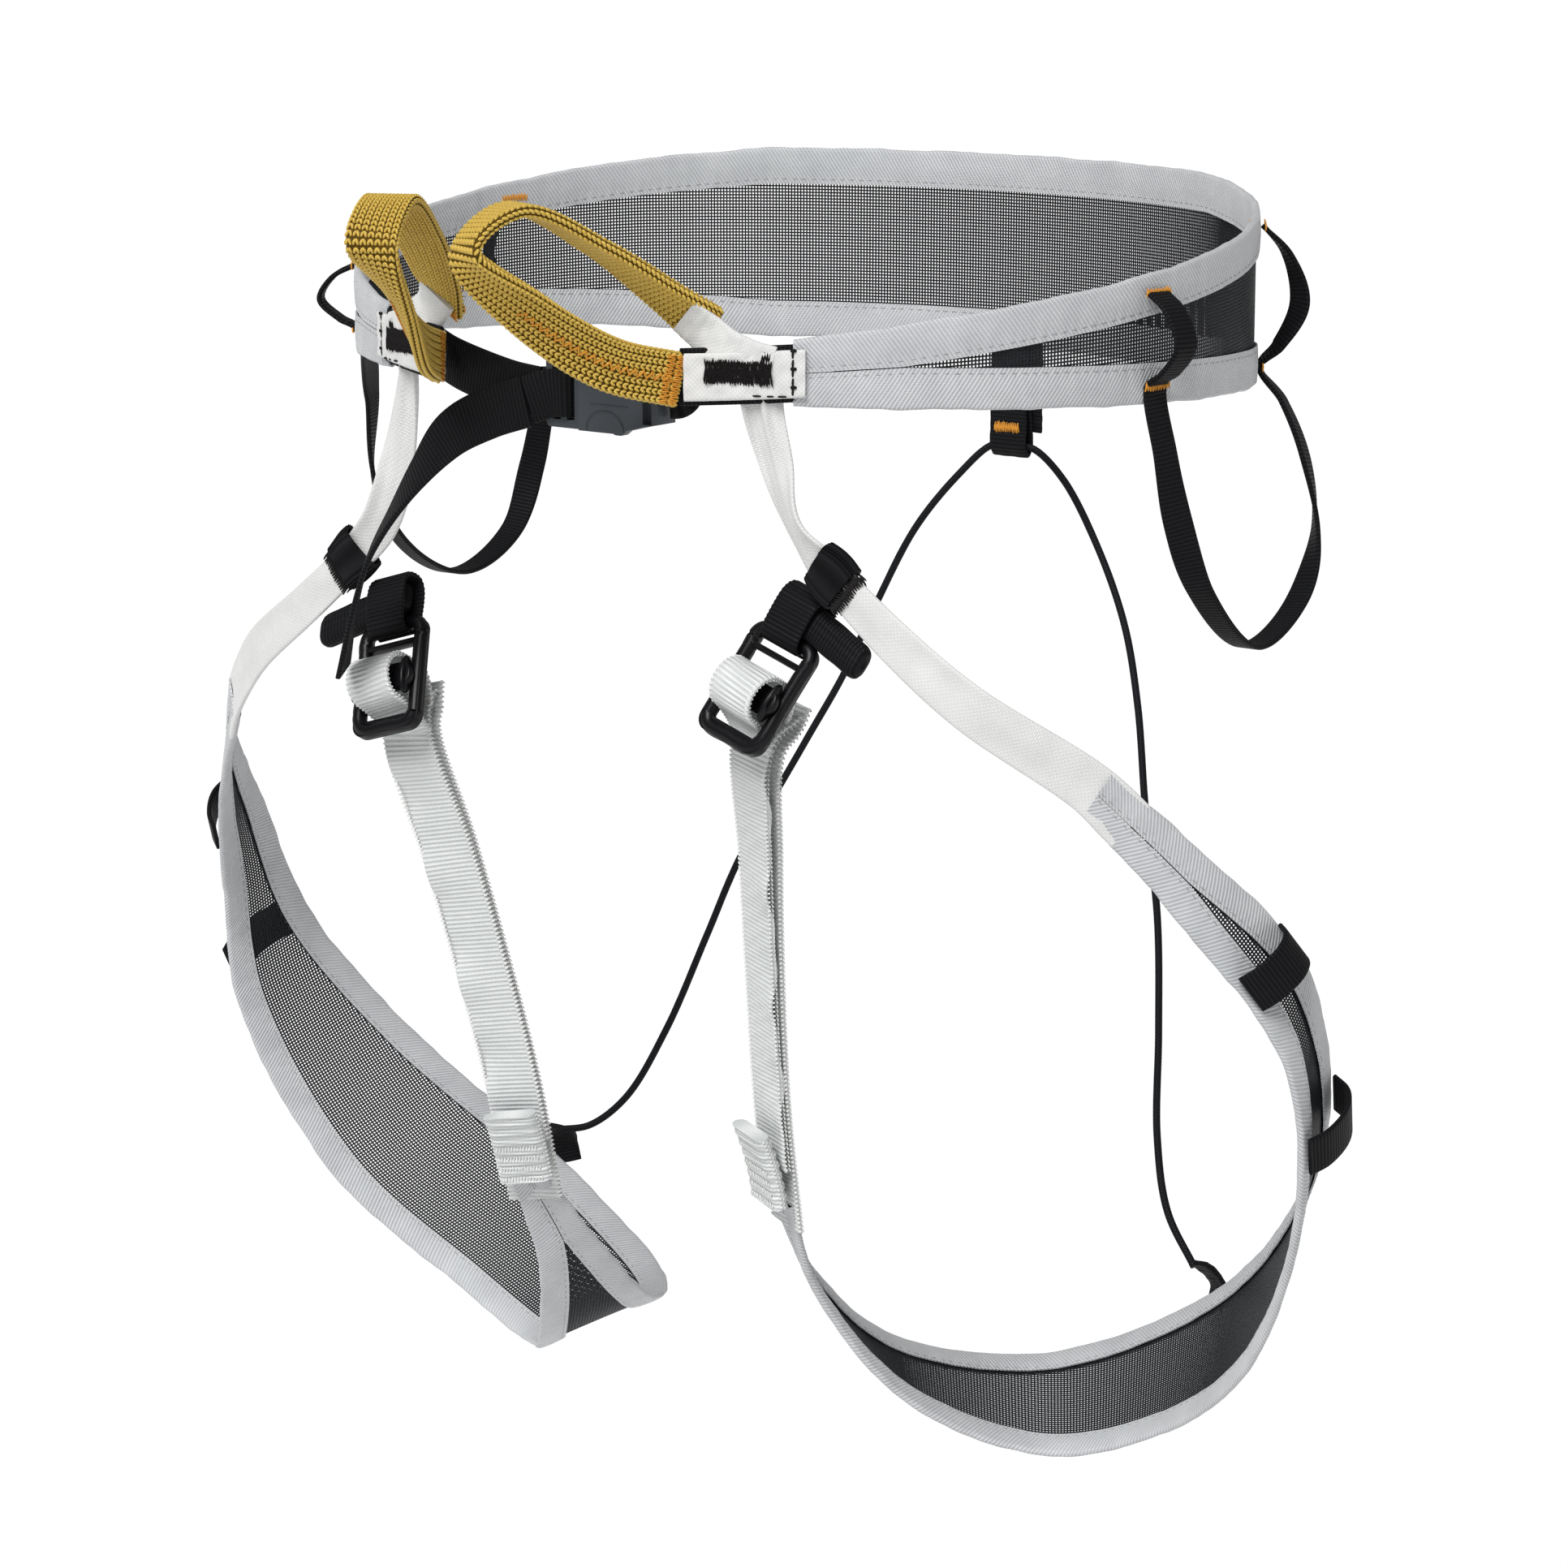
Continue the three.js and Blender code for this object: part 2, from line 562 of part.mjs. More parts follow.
function addLegs() {
  const panel = sweep(panelSection(), LEG_STEPS, edgeFrame("panel", 1));
  addPair("leg_panel", panel, COLOUR.mesh, legDrop);
  const fold = foldedTape(LEG_TAPE_WIDTH);
  addPair("leg_binding_lower", sweep(fold, LEG_STEPS, edgeFrame("fold", 1)), COLOUR.tape, legDrop);
  addPair("leg_binding_upper", sweep(fold, LEG_STEPS, edgeFrame("fold", -1)), COLOUR.tape, legDrop);
  LEG_BANDS.forEach(([name, at]) => addPair(name, legBand(at), COLOUR.black, legDrop));

  const riser = sweep(rectangle(RISER_WIDTH, WEBBING_THICKNESS), 26, strapFrame(RISER_ROUTE, RISER_LIE));
  addPair("riser", riser, COLOUR.white, legDrop);
  const wrap = rectangle(RISER_WIDTH + 3.4, KEEPER_THICKNESS);
  wrap.holes.push(new THREE.Path(rectangle(RISER_WIDTH + 0.8, WEBBING_THICKNESS + 0.9).getPoints()));
  const keeperFrame = offsetFrame(strapFrame(RISER_ROUTE, RISER_LIE), () => 0, KEEPER_START, KEEPER_END);
  addPair("riser_keeper", sweep(wrap, 4, keeperFrame), COLOUR.black, legDrop);

  const strapLine = strapFrame(STRAP_ROUTE, STRAP_LIE);
  const adjuster = rectangle(STRAP_WIDTH, THIN_WEBBING);
  addPair("adjuster_strap", sweep(adjuster, 14, strapLine), COLOUR.strap, legDrop);
  const fan = (t) => 2 + 5.5 * t * t; // the two layers draw apart towards the crotch
  const tailLine = offsetFrame(strapLine, fan, 0.06, 0.985);
  addPair("adjuster_tail", sweep(adjuster, 14, tailLine), COLOUR.strap, legDrop);
  const folded = roundedRectangle(STRAP_WIDTH, STRAP_END_THICKNESS, 1);
  const lean = (t) => 5.4 + 4.5 * t * t; // the folded end stands away from the strap at its top
  const endLine = offsetFrame(strapLine, lean, 0.01, STRAP_END_LENGTH);
  addPair("strap_end", sweep(folded, 4, endLine), COLOUR.strap, legDrop);

  const tabLie = CORD_TAB_ROUTE.map(() => [0.8, -0.5, 0.3]);
  addPair("cord_tab", strap(CORD_TAB_ROUTE, tabLie, 9, 1.6, 3), COLOUR.black, legDrop);
}

// ---- Leg buckle and its toggle ----------------------------------------------------------------

const LEG_BUCKLE_CENTRE = new THREE.Vector3(65, -103, -95);
const LEG_BUCKLE_DOWN = new THREE.Vector3(-0.296, -0.473, -0.828);
const LEG_BUCKLE_ACROSS = new THREE.Vector3(0.954, -0.102, -0.283);
const FRAME_WIDTH = 23;
const FRAME_LENGTH = 33;
const FRAME_MIDDLE = -2;
const FRAME_THICKNESS = 3;
const FRAME_CORNER = 4;
const UPPER_SLOT = [16.6, 3.4, 0, 10.3]; // width, height and middle
const LOWER_SLOT = [17.4, 21, 0, -3.6];
const PLATE_SIZE = [21.5, 8];
const PLATE_THICKNESS = 2.4;
const PLATE_MIDDLE = [-4, 4]; // up the buckle, out of its face
const WRAP_RADIUS = [5.7, 7.2];
const WRAP_PAST_HALF = 0.1; // radians past half a turn, at each end
const TOGGLE_CENTRE = 20.8; // above the buckle's centre
const TOGGLE_WIDTH = 9;
const TOGGLE_THICKNESS = 6;
const TOGGLE_LENGTH = 30;
const TOGGLE_SHIFT = 10; // towards the wearer's side
const TOGGLE_LEAN = 0.14; // radians; its outer end hangs lower
const STEM_OUT = 1; // out of the buckle's middle plane
const STEM_LOW = 10.2;
const STEM_HIGH = TOGGLE_CENTRE + TOGGLE_WIDTH / 2 + 2.6;
const STEM_DEPTH = 9.8;
const STEM_THICKNESS = 1.5;
const STEM_WIDTH = 13.6;

// Leg buckle pieces are drawn with x across, y up the buckle and z out of its face.
function placeLegBuckle(geometry) {
  const up = LEG_BUCKLE_DOWN.clone().normalize().negate();
  const out = new THREE.Vector3().crossVectors(LEG_BUCKLE_ACROSS, up).normalize();
  const across = new THREE.Vector3().crossVectors(up, out);
  const stand = new THREE.Matrix4().makeBasis(across, up, out);
  return geometry.applyMatrix4(stand.setPosition(LEG_BUCKLE_CENTRE));
}

// A profile in the plane of (up the buckle, out of its face), given width across.
function acrossBuckle(shape, width, middle = 0) {
  const geometry = plate(shape, width, 4);
  const turn = new THREE.Matrix4().makeBasis(
    new THREE.Vector3(0, 1, 0),
    new THREE.Vector3(0, 0, 1),
    new THREE.Vector3(1, 0, 0),
  );
  return geometry.applyMatrix4(turn).translate(middle, 0, 0);
}

function addLegBuckle() {
  const outline = roundedRectangle(FRAME_WIDTH, FRAME_LENGTH, FRAME_CORNER, 0, FRAME_MIDDLE);
  for (const slot of [UPPER_SLOT, LOWER_SLOT]) {
    outline.holes.push(new THREE.Path(rectangle(...slot).getPoints()));
  }
  addPair("leg_buckle_frame", placeLegBuckle(plate(outline, FRAME_THICKNESS)), COLOUR.plastic, legDrop, 0.5);

  const [up, out] = PLATE_MIDDLE;
  const barOutline = roundedRectangle(...PLATE_SIZE, PLATE_SIZE[1] / 2 - 0.1, 0, up);
  const bar = plate(barOutline, PLATE_THICKNESS).translate(0, 0, out);
  addPair("leg_buckle_plate", placeLegBuckle(bar), COLOUR.plastic, legDrop, 0.5);

  const wrap = new THREE.Shape();
  const [inside, outside] = WRAP_RADIUS;
  wrap.absarc(up, out, outside, -WRAP_PAST_HALF, Math.PI + WRAP_PAST_HALF);
  wrap.absarc(up, out, inside, Math.PI + WRAP_PAST_HALF, -WRAP_PAST_HALF, true);
  wrap.closePath();
  addPair("adjuster_wrap", placeLegBuckle(acrossBuckle(wrap, STRAP_WIDTH - 1)), COLOUR.strap, legDrop);

  const rollEnd = roundedRectangle(TOGGLE_WIDTH, TOGGLE_THICKNESS, 2.6);
  const roll = acrossBuckle(rollEnd, TOGGLE_LENGTH, TOGGLE_SHIFT);
  const bolster = roll.rotateZ(-TOGGLE_LEAN).translate(0, TOGGLE_CENTRE, STEM_OUT);
  addPair("toggle_bar", placeLegBuckle(bolster), COLOUR.black, legDrop);

  const [stemMiddle, stemLength] = [(STEM_HIGH + STEM_LOW) / 2, STEM_HIGH - STEM_LOW];
  const ring = roundedRectangle(stemLength, STEM_DEPTH, 2, stemMiddle, STEM_OUT);
  const hollow = [stemLength - 2 * STEM_THICKNESS, STEM_DEPTH - 2 * STEM_THICKNESS];
  ring.holes.push(new THREE.Path(roundedRectangle(...hollow, 1, stemMiddle, STEM_OUT).getPoints(2)));
  addPair("toggle_strap", placeLegBuckle(acrossBuckle(ring, STEM_WIDTH)), COLOUR.black, legDrop);
}

// ---- Assembly ---------------------------------------------------------------------------------

addBelt();
addTieInTab("tie_in_tab_left", -1);
addTieInTab("tie_in_tab_right", 1);
addPair("tie_in_loop", strap(TIE_IN_ROUTE, TIE_IN_LIE, TIE_IN_WIDTH, TIE_IN_THICKNESS, 26), COLOUR.gold);
addGearLoops();
for (const [name, left, right] of GEAR_STRAPS) {
  add(`${name}_left`, gearStrap(left, GEAR_BULGE), COLOUR.black);
  add(`${name}_right`, gearStrap(right, GEAR_BULGE), COLOUR.black);
}
addBuckle();
addWaistStraps();
addBack();
addLegs();
addLegBuckle();

export default harness;
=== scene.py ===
"""The looks of a light climbing harness: net belt and leg loops bound with folded tape, braided
tie-in loops, webbing, stitching and plastic buckles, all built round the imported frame.

Shapes are worked out in millimetres in the frame's own axes (-Y is the wearer's front, +X the
wearer's left, +Z up) and become metres when a piece is made.
"""

import bmesh
import bpy
import numpy as np
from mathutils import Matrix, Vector


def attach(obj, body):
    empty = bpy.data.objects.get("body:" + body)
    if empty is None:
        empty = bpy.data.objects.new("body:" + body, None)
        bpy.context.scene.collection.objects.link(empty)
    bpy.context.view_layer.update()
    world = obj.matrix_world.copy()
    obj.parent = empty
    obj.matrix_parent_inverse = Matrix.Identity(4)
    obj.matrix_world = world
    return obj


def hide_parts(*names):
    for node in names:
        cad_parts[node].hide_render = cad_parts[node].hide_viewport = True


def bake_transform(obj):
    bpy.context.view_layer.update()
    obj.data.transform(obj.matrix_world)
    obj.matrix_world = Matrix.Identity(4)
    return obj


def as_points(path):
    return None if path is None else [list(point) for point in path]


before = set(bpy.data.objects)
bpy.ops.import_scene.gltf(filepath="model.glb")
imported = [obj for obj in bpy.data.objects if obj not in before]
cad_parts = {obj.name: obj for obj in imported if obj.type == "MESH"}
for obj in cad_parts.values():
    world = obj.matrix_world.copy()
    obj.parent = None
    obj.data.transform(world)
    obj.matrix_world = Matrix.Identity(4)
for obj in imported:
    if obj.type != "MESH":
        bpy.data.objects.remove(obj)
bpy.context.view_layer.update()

MM = 0.001
LEFT, RIGHT = "left", "right"

# ---- Camera and stage, in metres ----------------------------------------------------------------

CAMERA_PLACE = (0.8206, -1.0964, 0.1431)
CAMERA_TARGET = (-0.0036, -0.0027, -0.148)
CAMERA_LENS = 111.0
FLOOR_HEIGHT = -0.75
FLOOR_SIZE = 120.0

# ---- Driving dimensions, in millimetres, as in the frame ------------------------------------------

WAIST_HALF_WIDTH = 134.0
WAIST_HALF_DEPTH = 112.0
BELT_HEIGHT = 58.0
BELT_TAPER = 64.5
BELT_TAPER_START = 0.2
BELT_DROP = 12.5
BELT_DROP_START = 0.3
BELT_END_REACH = 0.8
TAB_END_REACH = 0.893
TAPE_WIDTH = 11.0
LEG_TAPE_WIDTH = 8.5
RIGHT_LEG_DROP = 12.0
DROP_FRONT_Y = -100.0
DROP_BACK_Y = 40.0
DROP_START = 24.0
DROP_FULL = 62.0

TIE_IN_ROUTE = [
    (41.6, -107.6, -16.5), (32, -126, -11), (22, -146, 3), (16, -163, 20),
    (21, -150, 30), (31, -128, 19), (40, -110, 5), (45, -101, -2.6),
]
TIE_IN_LIE = [
    (0, 0, 1), (0.3, 0.1, 1), (0.7, 0, 0.7), (0.9, -0.4, 0.2),
    (0.9, -0.45, 0), (0.9, -0.4, 0.1), (0.8, -0.2, 0.3), (0.8, 0.1, 0.45),
]
GEAR_HANG = {
    LEFT: [
        (136, -20, -38), (139, -18, -56), (141, -9, -76), (142, 15, -94),
        (142, 40, -84), (141, 50, -66), (136, 51.5, -46), (128, 53, -32),
    ],
    RIGHT: [
        (-137, -29, -42), (-138, -28, -66), (-139, -14, -89), (-139, 12, -101),
        (-139, 37, -91), (-139, 47, -72), (-136, 51, -50), (-128, 53, -33),
    ],
}
GEAR_HANG_LIE = [
    (0.3, 1, 0), (0.7, 0.7, 0.1), (1, 0.2, 0), (1, 0, 0),
    (1, 0, 0.2), (0.6, -0.7, 0), (0.3, -0.9, 0), (0.4, -0.9, 0),
]
GEAR_TURNS = {LEFT: (-0.56, -0.34), RIGHT: (0.66, 0.42)}
GEAR_BULGE = 12.5
GEAR_STRAP_INSET = 5.0
CORD_ROUTE = {
    LEFT: [
        (0.3, 107.8, -61.6), (7.5, 108, -61.8), (15, 113, -71), (26, 115, -90), (41, 108, -112),
        (52, 99, -134), (65, 84, -162), (78, 71, -190), (88, 57, -220), (97, 43, -247),
        (106, 35, -266), (117.5, 31.5, -279.5),
    ],
    RIGHT: [
        (-0.3, 107.8, -61.6), (-7.5, 107.5, -61.8), (-16, 102, -71), (-26, 94, -87),
        (-36, 88, -110), (-45, 83, -133), (-55, 76, -155), (-72, 65, -192), (-80, 59, -216),
        (-91, 52, -247), (-101, 44, -269), (-110, 37, -278), (-117.5, 31.5, -279.5),
    ],
}
CORD_DIAMETER = 2.2
TAIL_ROUTE = [
    (-10, -109, -26), (-22, -110.5, -30), (-33, -113, -36), (-42, -116.5, -47),
    (-51, -119.5, -61), (-57, -121, -72), (-62, -121.5, -86), (-67, -121, -104),
]
TAIL_LIE = [
    (0, 0.1, 1), (-0.1, 0.1, 1), (-0.25, 0.25, 0.9), (-0.45, 0.55, 0.6),
    (-0.55, 0.75, 0.25), (-0.6, 0.8, 0.1), (-0.6, 0.8, 0), (-0.5, 0.85, 0),
]
LOWER_EDGE = [
    (149, -77, -124), (172, -61, -156), (190, -42, -192), (191, -35, -232), (167, -20, -286),
    (129, -8, -317), (95, -13, -328), (68, -39, -311), (51, -60, -276), (51, -71, -249),
]
UPPER_EDGE = [
    (155, -73, -113), (172, -55, -135), (186, -28, -166), (184, -9, -207), (162, 13, -248),
    (120, 34, -289), (72, 25, -313), (45, -14, -303), (38, -44, -277), (40.5, -66, -249),
]
RISER_ROUTE = [
    (58, -98.5, -24.6), (65, -97, -38), (72, -98, -54), (85, -98, -66.5),
    (103, -97, -81), (125, -93, -97), (150.6, -76, -117),
]
RISER_LIE = [
    (0.93, 0.36, 0), (0.85, 0, 0.2), (0.7, -0.6, 0.4), (0.55, 0.05, 0.83),
    (0.5, 0.1, 0.85), (0.45, 0.15, 0.85), (0.4, 0.3, 0.85),
]
STRAP_ROUTE = [
    (45.8, -68, -247), (47, -74, -218), (51, -82, -181), (56, -90, -145), (61.4, -97.4, -113),
]
STRAP_LIE = [(-0.91, 0.4, 0), (-0.91, 0.4, 0), (-0.91, 0.4, 0), (-0.91, 0.35, 0.1), (-0.93, 0.2, 0.2)]
WAIST_STRAP_LEFT = [(34.8, -103.6, -21.6), (37, -102.9, -21.4), (40, -101.6, -18), (56, -94.6, -15.6)]
WAIST_STRAP_RIGHT = [(-9.2, -104, -24), (-20, -103.2, -23), (-40, -101.2, -19), (-56, -94.6, -15.6)]
UPRIGHT = (0, 0, 1)

# Plastic parts: centres and sizes of the waist buckle and the leg buckle.
BUCKLE_CENTRE = np.array((14.0, -104.0, -23.0))
BUCKLE_SPLIT = -7.0
LEG_BUCKLE_CENTRE = np.array((65.0, -103.0, -95.0))
LEG_BUCKLE_DOWN = np.array((-0.296, -0.473, -0.828))
LEG_BUCKLE_ACROSS = np.array((0.954, -0.102, -0.283))
TOGGLE_MIDDLE = 20.8
TOGGLE_WIDTH = 9.6
TOGGLE_THICKNESS = 6.2
TOGGLE_LENGTH = 31.0
TOGGLE_SHIFT = 10.5
TOGGLE_LEAN = 0.16
STEM_OUT = 1.0
STEM_LOW = 10.2
STEM_HIGH = 27.9
STEM_DEPTH = 9.8

# Cloth as it is woven and sewn.
NET_PITCH = 0.95
NET_THREAD = 0.43
NET_DEPTH = 0.22
NET_INSET = 1.6
FOLD_HALF = 0.75
FOLD_THICKNESS = 0.55
FOLD_BELLY = 0.28
FOLD_FACE_POINTS = 7
FOLD_NOSE_POINTS = 9
PUCKER_DEPTH = 0.1
PUCKER_REACH = 1.3
STITCH_PITCH = 3.0
STITCH_LENGTH = 2.2
STITCH_INSET = 1.9
STITCH_THICK = 0.34
STITCH_SINK = 0.16
WEBBING_THICKNESS = 1.4
ROUNDED_EDGE = (12.0, 48.0)  # degrees round the edge of a webbing where its points lie
STRAP_WIDTH = 16.0
GEAR_WIDTH = 8.0
WAIST_STRAP_WIDTH = 14.0


# ---- Lines and frames -----------------------------------------------------------------------------


def unit(vectors):
    return vectors / np.linalg.norm(vectors, axis=-1, keepdims=True)


def lengths_along(points):
    """How far along a line of points each of them lies."""
    steps = np.linalg.norm(np.diff(points, axis=0), axis=1)
    return np.concatenate([[0.0], np.cumsum(steps)])


class Curve:
    """A smooth centripetal line through points, the same one that the frame's webbing follows."""

    def __init__(self, points):
        points = np.array(points, float)
        before = 2 * points[0] - points[1]
        after = 2 * points[-1] - points[-2]
        self.spans = len(points) - 1
        self.points = np.vstack([before, points, after])
        self.shares = np.linspace(0, 1, 401)
        self.lengths = lengths_along(self.at(self.shares))
        self.length = self.lengths[-1]

    def at(self, share):
        share = np.clip(np.atleast_1d(np.asarray(share, float)), 0, 1) * self.spans
        first = np.minimum(share.astype(int), self.spans - 1)
        u = (share - first)[:, None]
        a, b, c, d = (self.points[first + k] for k in range(4))
        gap_ab, gap_bc, gap_cd = (
            np.sqrt(np.linalg.norm(q - p, axis=1, keepdims=True))
            for p, q in ((a, b), (b, c), (c, d))
        )
        gap_bc = np.where(gap_bc < 1e-4, 1, gap_bc)
        gap_ab = np.where(gap_ab < 1e-4, gap_bc, gap_ab)
        gap_cd = np.where(gap_cd < 1e-4, gap_bc, gap_cd)
        leaving = ((b - a) / gap_ab - (c - a) / (gap_ab + gap_bc) + (c - b) / gap_bc) * gap_bc
        arriving = ((c - b) / gap_bc - (d - b) / (gap_bc + gap_cd) + (d - c) / gap_cd) * gap_bc
        square = -3 * b + 3 * c - 2 * leaving - arriving
        cube = 2 * b - 2 * c + leaving + arriving
        return b + leaving * u + square * u**2 + cube * u**3

    def tangent(self, share):
        share = np.atleast_1d(np.asarray(share, float))
        step = 1e-4
        return unit(self.at(np.minimum(share + step, 1)) - self.at(np.maximum(share - step, 0)))

    def even(self, share):
        """The shares of the curve's own parameter at even shares of its length."""
        return np.interp(np.asarray(share) * self.length, self.lengths, self.shares)


def strap_frame(route, lie):
    """A strap at shares of its route: its middle, the way its width lies and the way it faces."""
    middle, widths = Curve(route), Curve(lie)

    def at(share):
        along = middle.tangent(share)
        across = widths.at(share)
        across = unit(across - along * np.sum(across * along, axis=1, keepdims=True))
        return middle.at(share), across, np.cross(along, across)

    return at


def shifted(frame_at, offset_at, start=0.0, end=1.0):
    """The part of a strap from start to end, moved off its own face."""

    def at(share):
        share = np.atleast_1d(share)
        origin, across, normal = frame_at(start + (end - start) * share)
        return origin + normal * offset_at(share)[:, None], across, normal

    return at


RIPPLE_RATIO = 1.7  # each wave is this many times shorter than the one before


def ripple(distance, seed, longest=34.0, parts=4):
    """A gentle uneven wave from -1 to 1 along a length of cloth."""
    chance = np.random.default_rng(seed)
    total = np.zeros_like(distance, dtype=float)
    for part in range(parts):
        wavelength = longest / (RIPPLE_RATIO**part) * chance.uniform(0.85, 1.15)
        total += np.sin(distance * 2 * np.pi / wavelength + chance.uniform(0, 6.28)) / (part + 1.4)
    return total / parts * 1.6


# ---- Shapes ---------------------------------------------------------------------------------------


class Shape:
    """Points, four-cornered faces, each point's place in the weave and each face's material number."""

    def __init__(self, points, faces, weave=None, material=0):
        self.points = np.asarray(points, float).reshape(-1, 3)
        self.faces = np.asarray(faces, int).reshape(-1, 4)
        self.weave = np.zeros((len(self.points), 2)) if weave is None else weave.reshape(-1, 2)
        self.material = np.full(len(self.faces), material)

    def __add__(self, other):
        total = Shape(
            np.vstack([self.points, other.points]),
            np.vstack([self.faces, other.faces + len(self.points)]),
            np.vstack([self.weave, other.weave]),
        )
        total.material = np.concatenate([self.material, other.material])
        return total

    def facing_out(self):
        """The same closed shape with its faces turned outwards."""
        a, b, c, d = (self.points[self.faces[:, k]] for k in range(4))
        volume = np.sum(a * np.cross(b, c)) + np.sum(a * np.cross(c, d))
        if volume < 0:
            self.faces = self.faces[:, ::-1]
        return self

    def to_right(self, drop=True):
        """The same shape on the wearer's right, where the leg loop hangs a little lower."""
        points = self.points * (-1, 1, 1)
        if drop:
            points[:, 2] += leg_drop(points[:, 1], points[:, 2])
        other = Shape(points, self.faces[:, ::-1], self.weave)
        other.material = self.material
        return other


def together(shapes):
    total = shapes[0]
    for shape in shapes[1:]:
        total = total + shape
    return total


def leg_drop(y, z):
    """How much lower the right leg loop hangs than a mirrored left one: most at its front."""
    share = np.clip((DROP_BACK_Y - y) / (DROP_BACK_Y - DROP_FRONT_Y), 0, 1)
    past = np.clip((-z - DROP_START) / (DROP_FULL - DROP_START), 0, 1)
    return -RIGHT_LEG_DROP * share * past**2 * (3 - 2 * past)


def grid_faces(numbers):
    """The four-cornered faces of a grid of point numbers."""
    corners = [numbers[:-1, :-1], numbers[1:, :-1], numbers[1:, 1:], numbers[:-1, 1:]]
    return np.stack(corners, axis=-1).reshape(-1, 4)


def slab(outer, inner, weave, material=0, ring=False):
    """A thick sheet between two grids of points, closed at its ends and at its sides or round a ring."""
    rows, columns = outer.shape[:2]
    front = np.arange(rows * columns).reshape(rows, columns)
    back = front + rows * columns
    if ring:
        front = np.concatenate([front, front[:, :1]], axis=1)
        back = np.concatenate([back, back[:, :1]], axis=1)
    faces = [
        grid_faces(front),
        grid_faces(back)[:, ::-1],
        grid_faces(np.stack([back[0], front[0]])),
        grid_faces(np.stack([front[-1], back[-1]])),
    ]
    if not ring:
        faces.append(grid_faces(np.stack([back[:, 0], front[:, 0]], axis=1)))
        faces.append(grid_faces(np.stack([front[:, -1], back[:, -1]], axis=1)))
    points = np.concatenate([outer.reshape(-1, 3), inner.reshape(-1, 3)])
    return Shape(points, np.vstack(faces), np.concatenate([weave, weave]), material).facing_out()


def loft(rings, weave=None, material=0):
    """A solid through rings of an even number of points, closed at both ends."""
    rows, sides = rings.shape[:2]
    numbers = np.arange(rows * sides).reshape(rows, sides)
    wall = grid_faces(np.concatenate([numbers, numbers[:, :1]], axis=1))
    caps = [
        [end[0], end[k], end[k + 1], end[k + 2]]
        for end in (numbers[0], numbers[-1][::-1])
        for k in range(1, sides - 2, 2)
    ]
    return Shape(rings, np.vstack([wall, caps]), weave, material).facing_out()


def no_relief(across, along):
    return np.zeros_like(across)


def ribbon(frame_at, rows, width, thickness, columns=8, wave=no_relief, ribs=no_relief, material=0):
    """Webbing with rounded edges. wave bends the whole thickness; ribs stand out of both faces."""
    share = np.linspace(0, 1, rows)
    origin, across, normal = frame_at(share)
    along = lengths_along(origin)
    half = thickness / 2
    turned = np.radians(ROUNDED_EDGE)
    flat = np.concatenate([[-1, -1], np.linspace(-1, 1, columns + 1), [1, 1]])
    rounding = np.concatenate([-half * np.cos(turned), np.zeros(columns + 1), half * np.cos(turned[::-1])])
    lift = np.concatenate([half * np.sin(turned), np.full(columns + 1, half), half * np.sin(turned[::-1])])
    spread = np.broadcast_to(np.asarray(width, float), share.shape)[:, None] / 2 - half
    x = spread * flat + rounding
    v = np.broadcast_to(along[:, None], x.shape)
    bend, rise = wave(x, v), ribs(x, v)
    middle = origin[:, None] + across[:, None] * x[..., None]
    outer = middle + normal[:, None] * (bend + lift + rise)[..., None]
    inner = middle + normal[:, None] * (bend - lift - rise)[..., None]
    return slab(outer, inner, np.stack([x, v], axis=-1), material)


def fold(frame_at, rows, reach, seed, edge_wave=0.3, face_wave=0.3):
    """Binding tape folded over an edge: from the front row of stitching round the edge to the back one."""
    share = np.linspace(0, 1, rows)
    origin, across, normal = frame_at(share)
    along = lengths_along(origin)
    half = FOLD_THICKNESS / 2
    face, nose = FOLD_FACE_POINTS, np.linspace(np.pi / 2, 1.5 * np.pi, FOLD_NOSE_POINTS)
    flat = np.concatenate([np.linspace(1, 0.12, face), np.zeros(len(nose)), np.linspace(0.12, 1, face)])
    face_x = np.concatenate([np.zeros(face), np.cos(nose), np.zeros(face)])
    face_y = np.concatenate([np.ones(face), np.sin(nose), -np.ones(face)])
    x0, y0 = FOLD_HALF + FOLD_HALF * face_x, FOLD_HALF * face_y
    width = np.broadcast_to(np.asarray(reach(share), float), share.shape)[:, None]
    x = x0 + half + flat * (width - FOLD_HALF - half)
    v = np.broadcast_to(along[:, None], x.shape)
    scallop = edge_wave * ripple(along, seed)[:, None] * (1 - flat)
    swell = face_wave * ripple(along, seed + 1, longest=22.0)[:, None]
    from_stitches = (x - width + STITCH_INSET) / PUCKER_REACH
    pucker = PUCKER_DEPTH * np.cos(v * 2 * np.pi / STITCH_PITCH) * np.exp(-(from_stitches**2))
    belly = FOLD_BELLY * np.sin(np.pi * np.clip(x / width, 0, 1)) ** 2
    y = y0 + swell * 0.5
    outer_y = y + (half + belly + pucker) * face_y
    inner_y = y - (half - 0.1) * face_y
    place = origin[:, None] + across[:, None] * (x + scallop)[..., None]
    outer = place + across[:, None] * (half * face_x)[..., None] + normal[:, None] * outer_y[..., None]
    inner = place - across[:, None] * (half * face_x)[..., None] + normal[:, None] * inner_y[..., None]
    length_round = lengths_along(np.stack([x[0], y0], axis=1))
    u = np.broadcast_to(length_round, x.shape)
    return slab(outer, inner, np.stack([u, v], axis=-1))


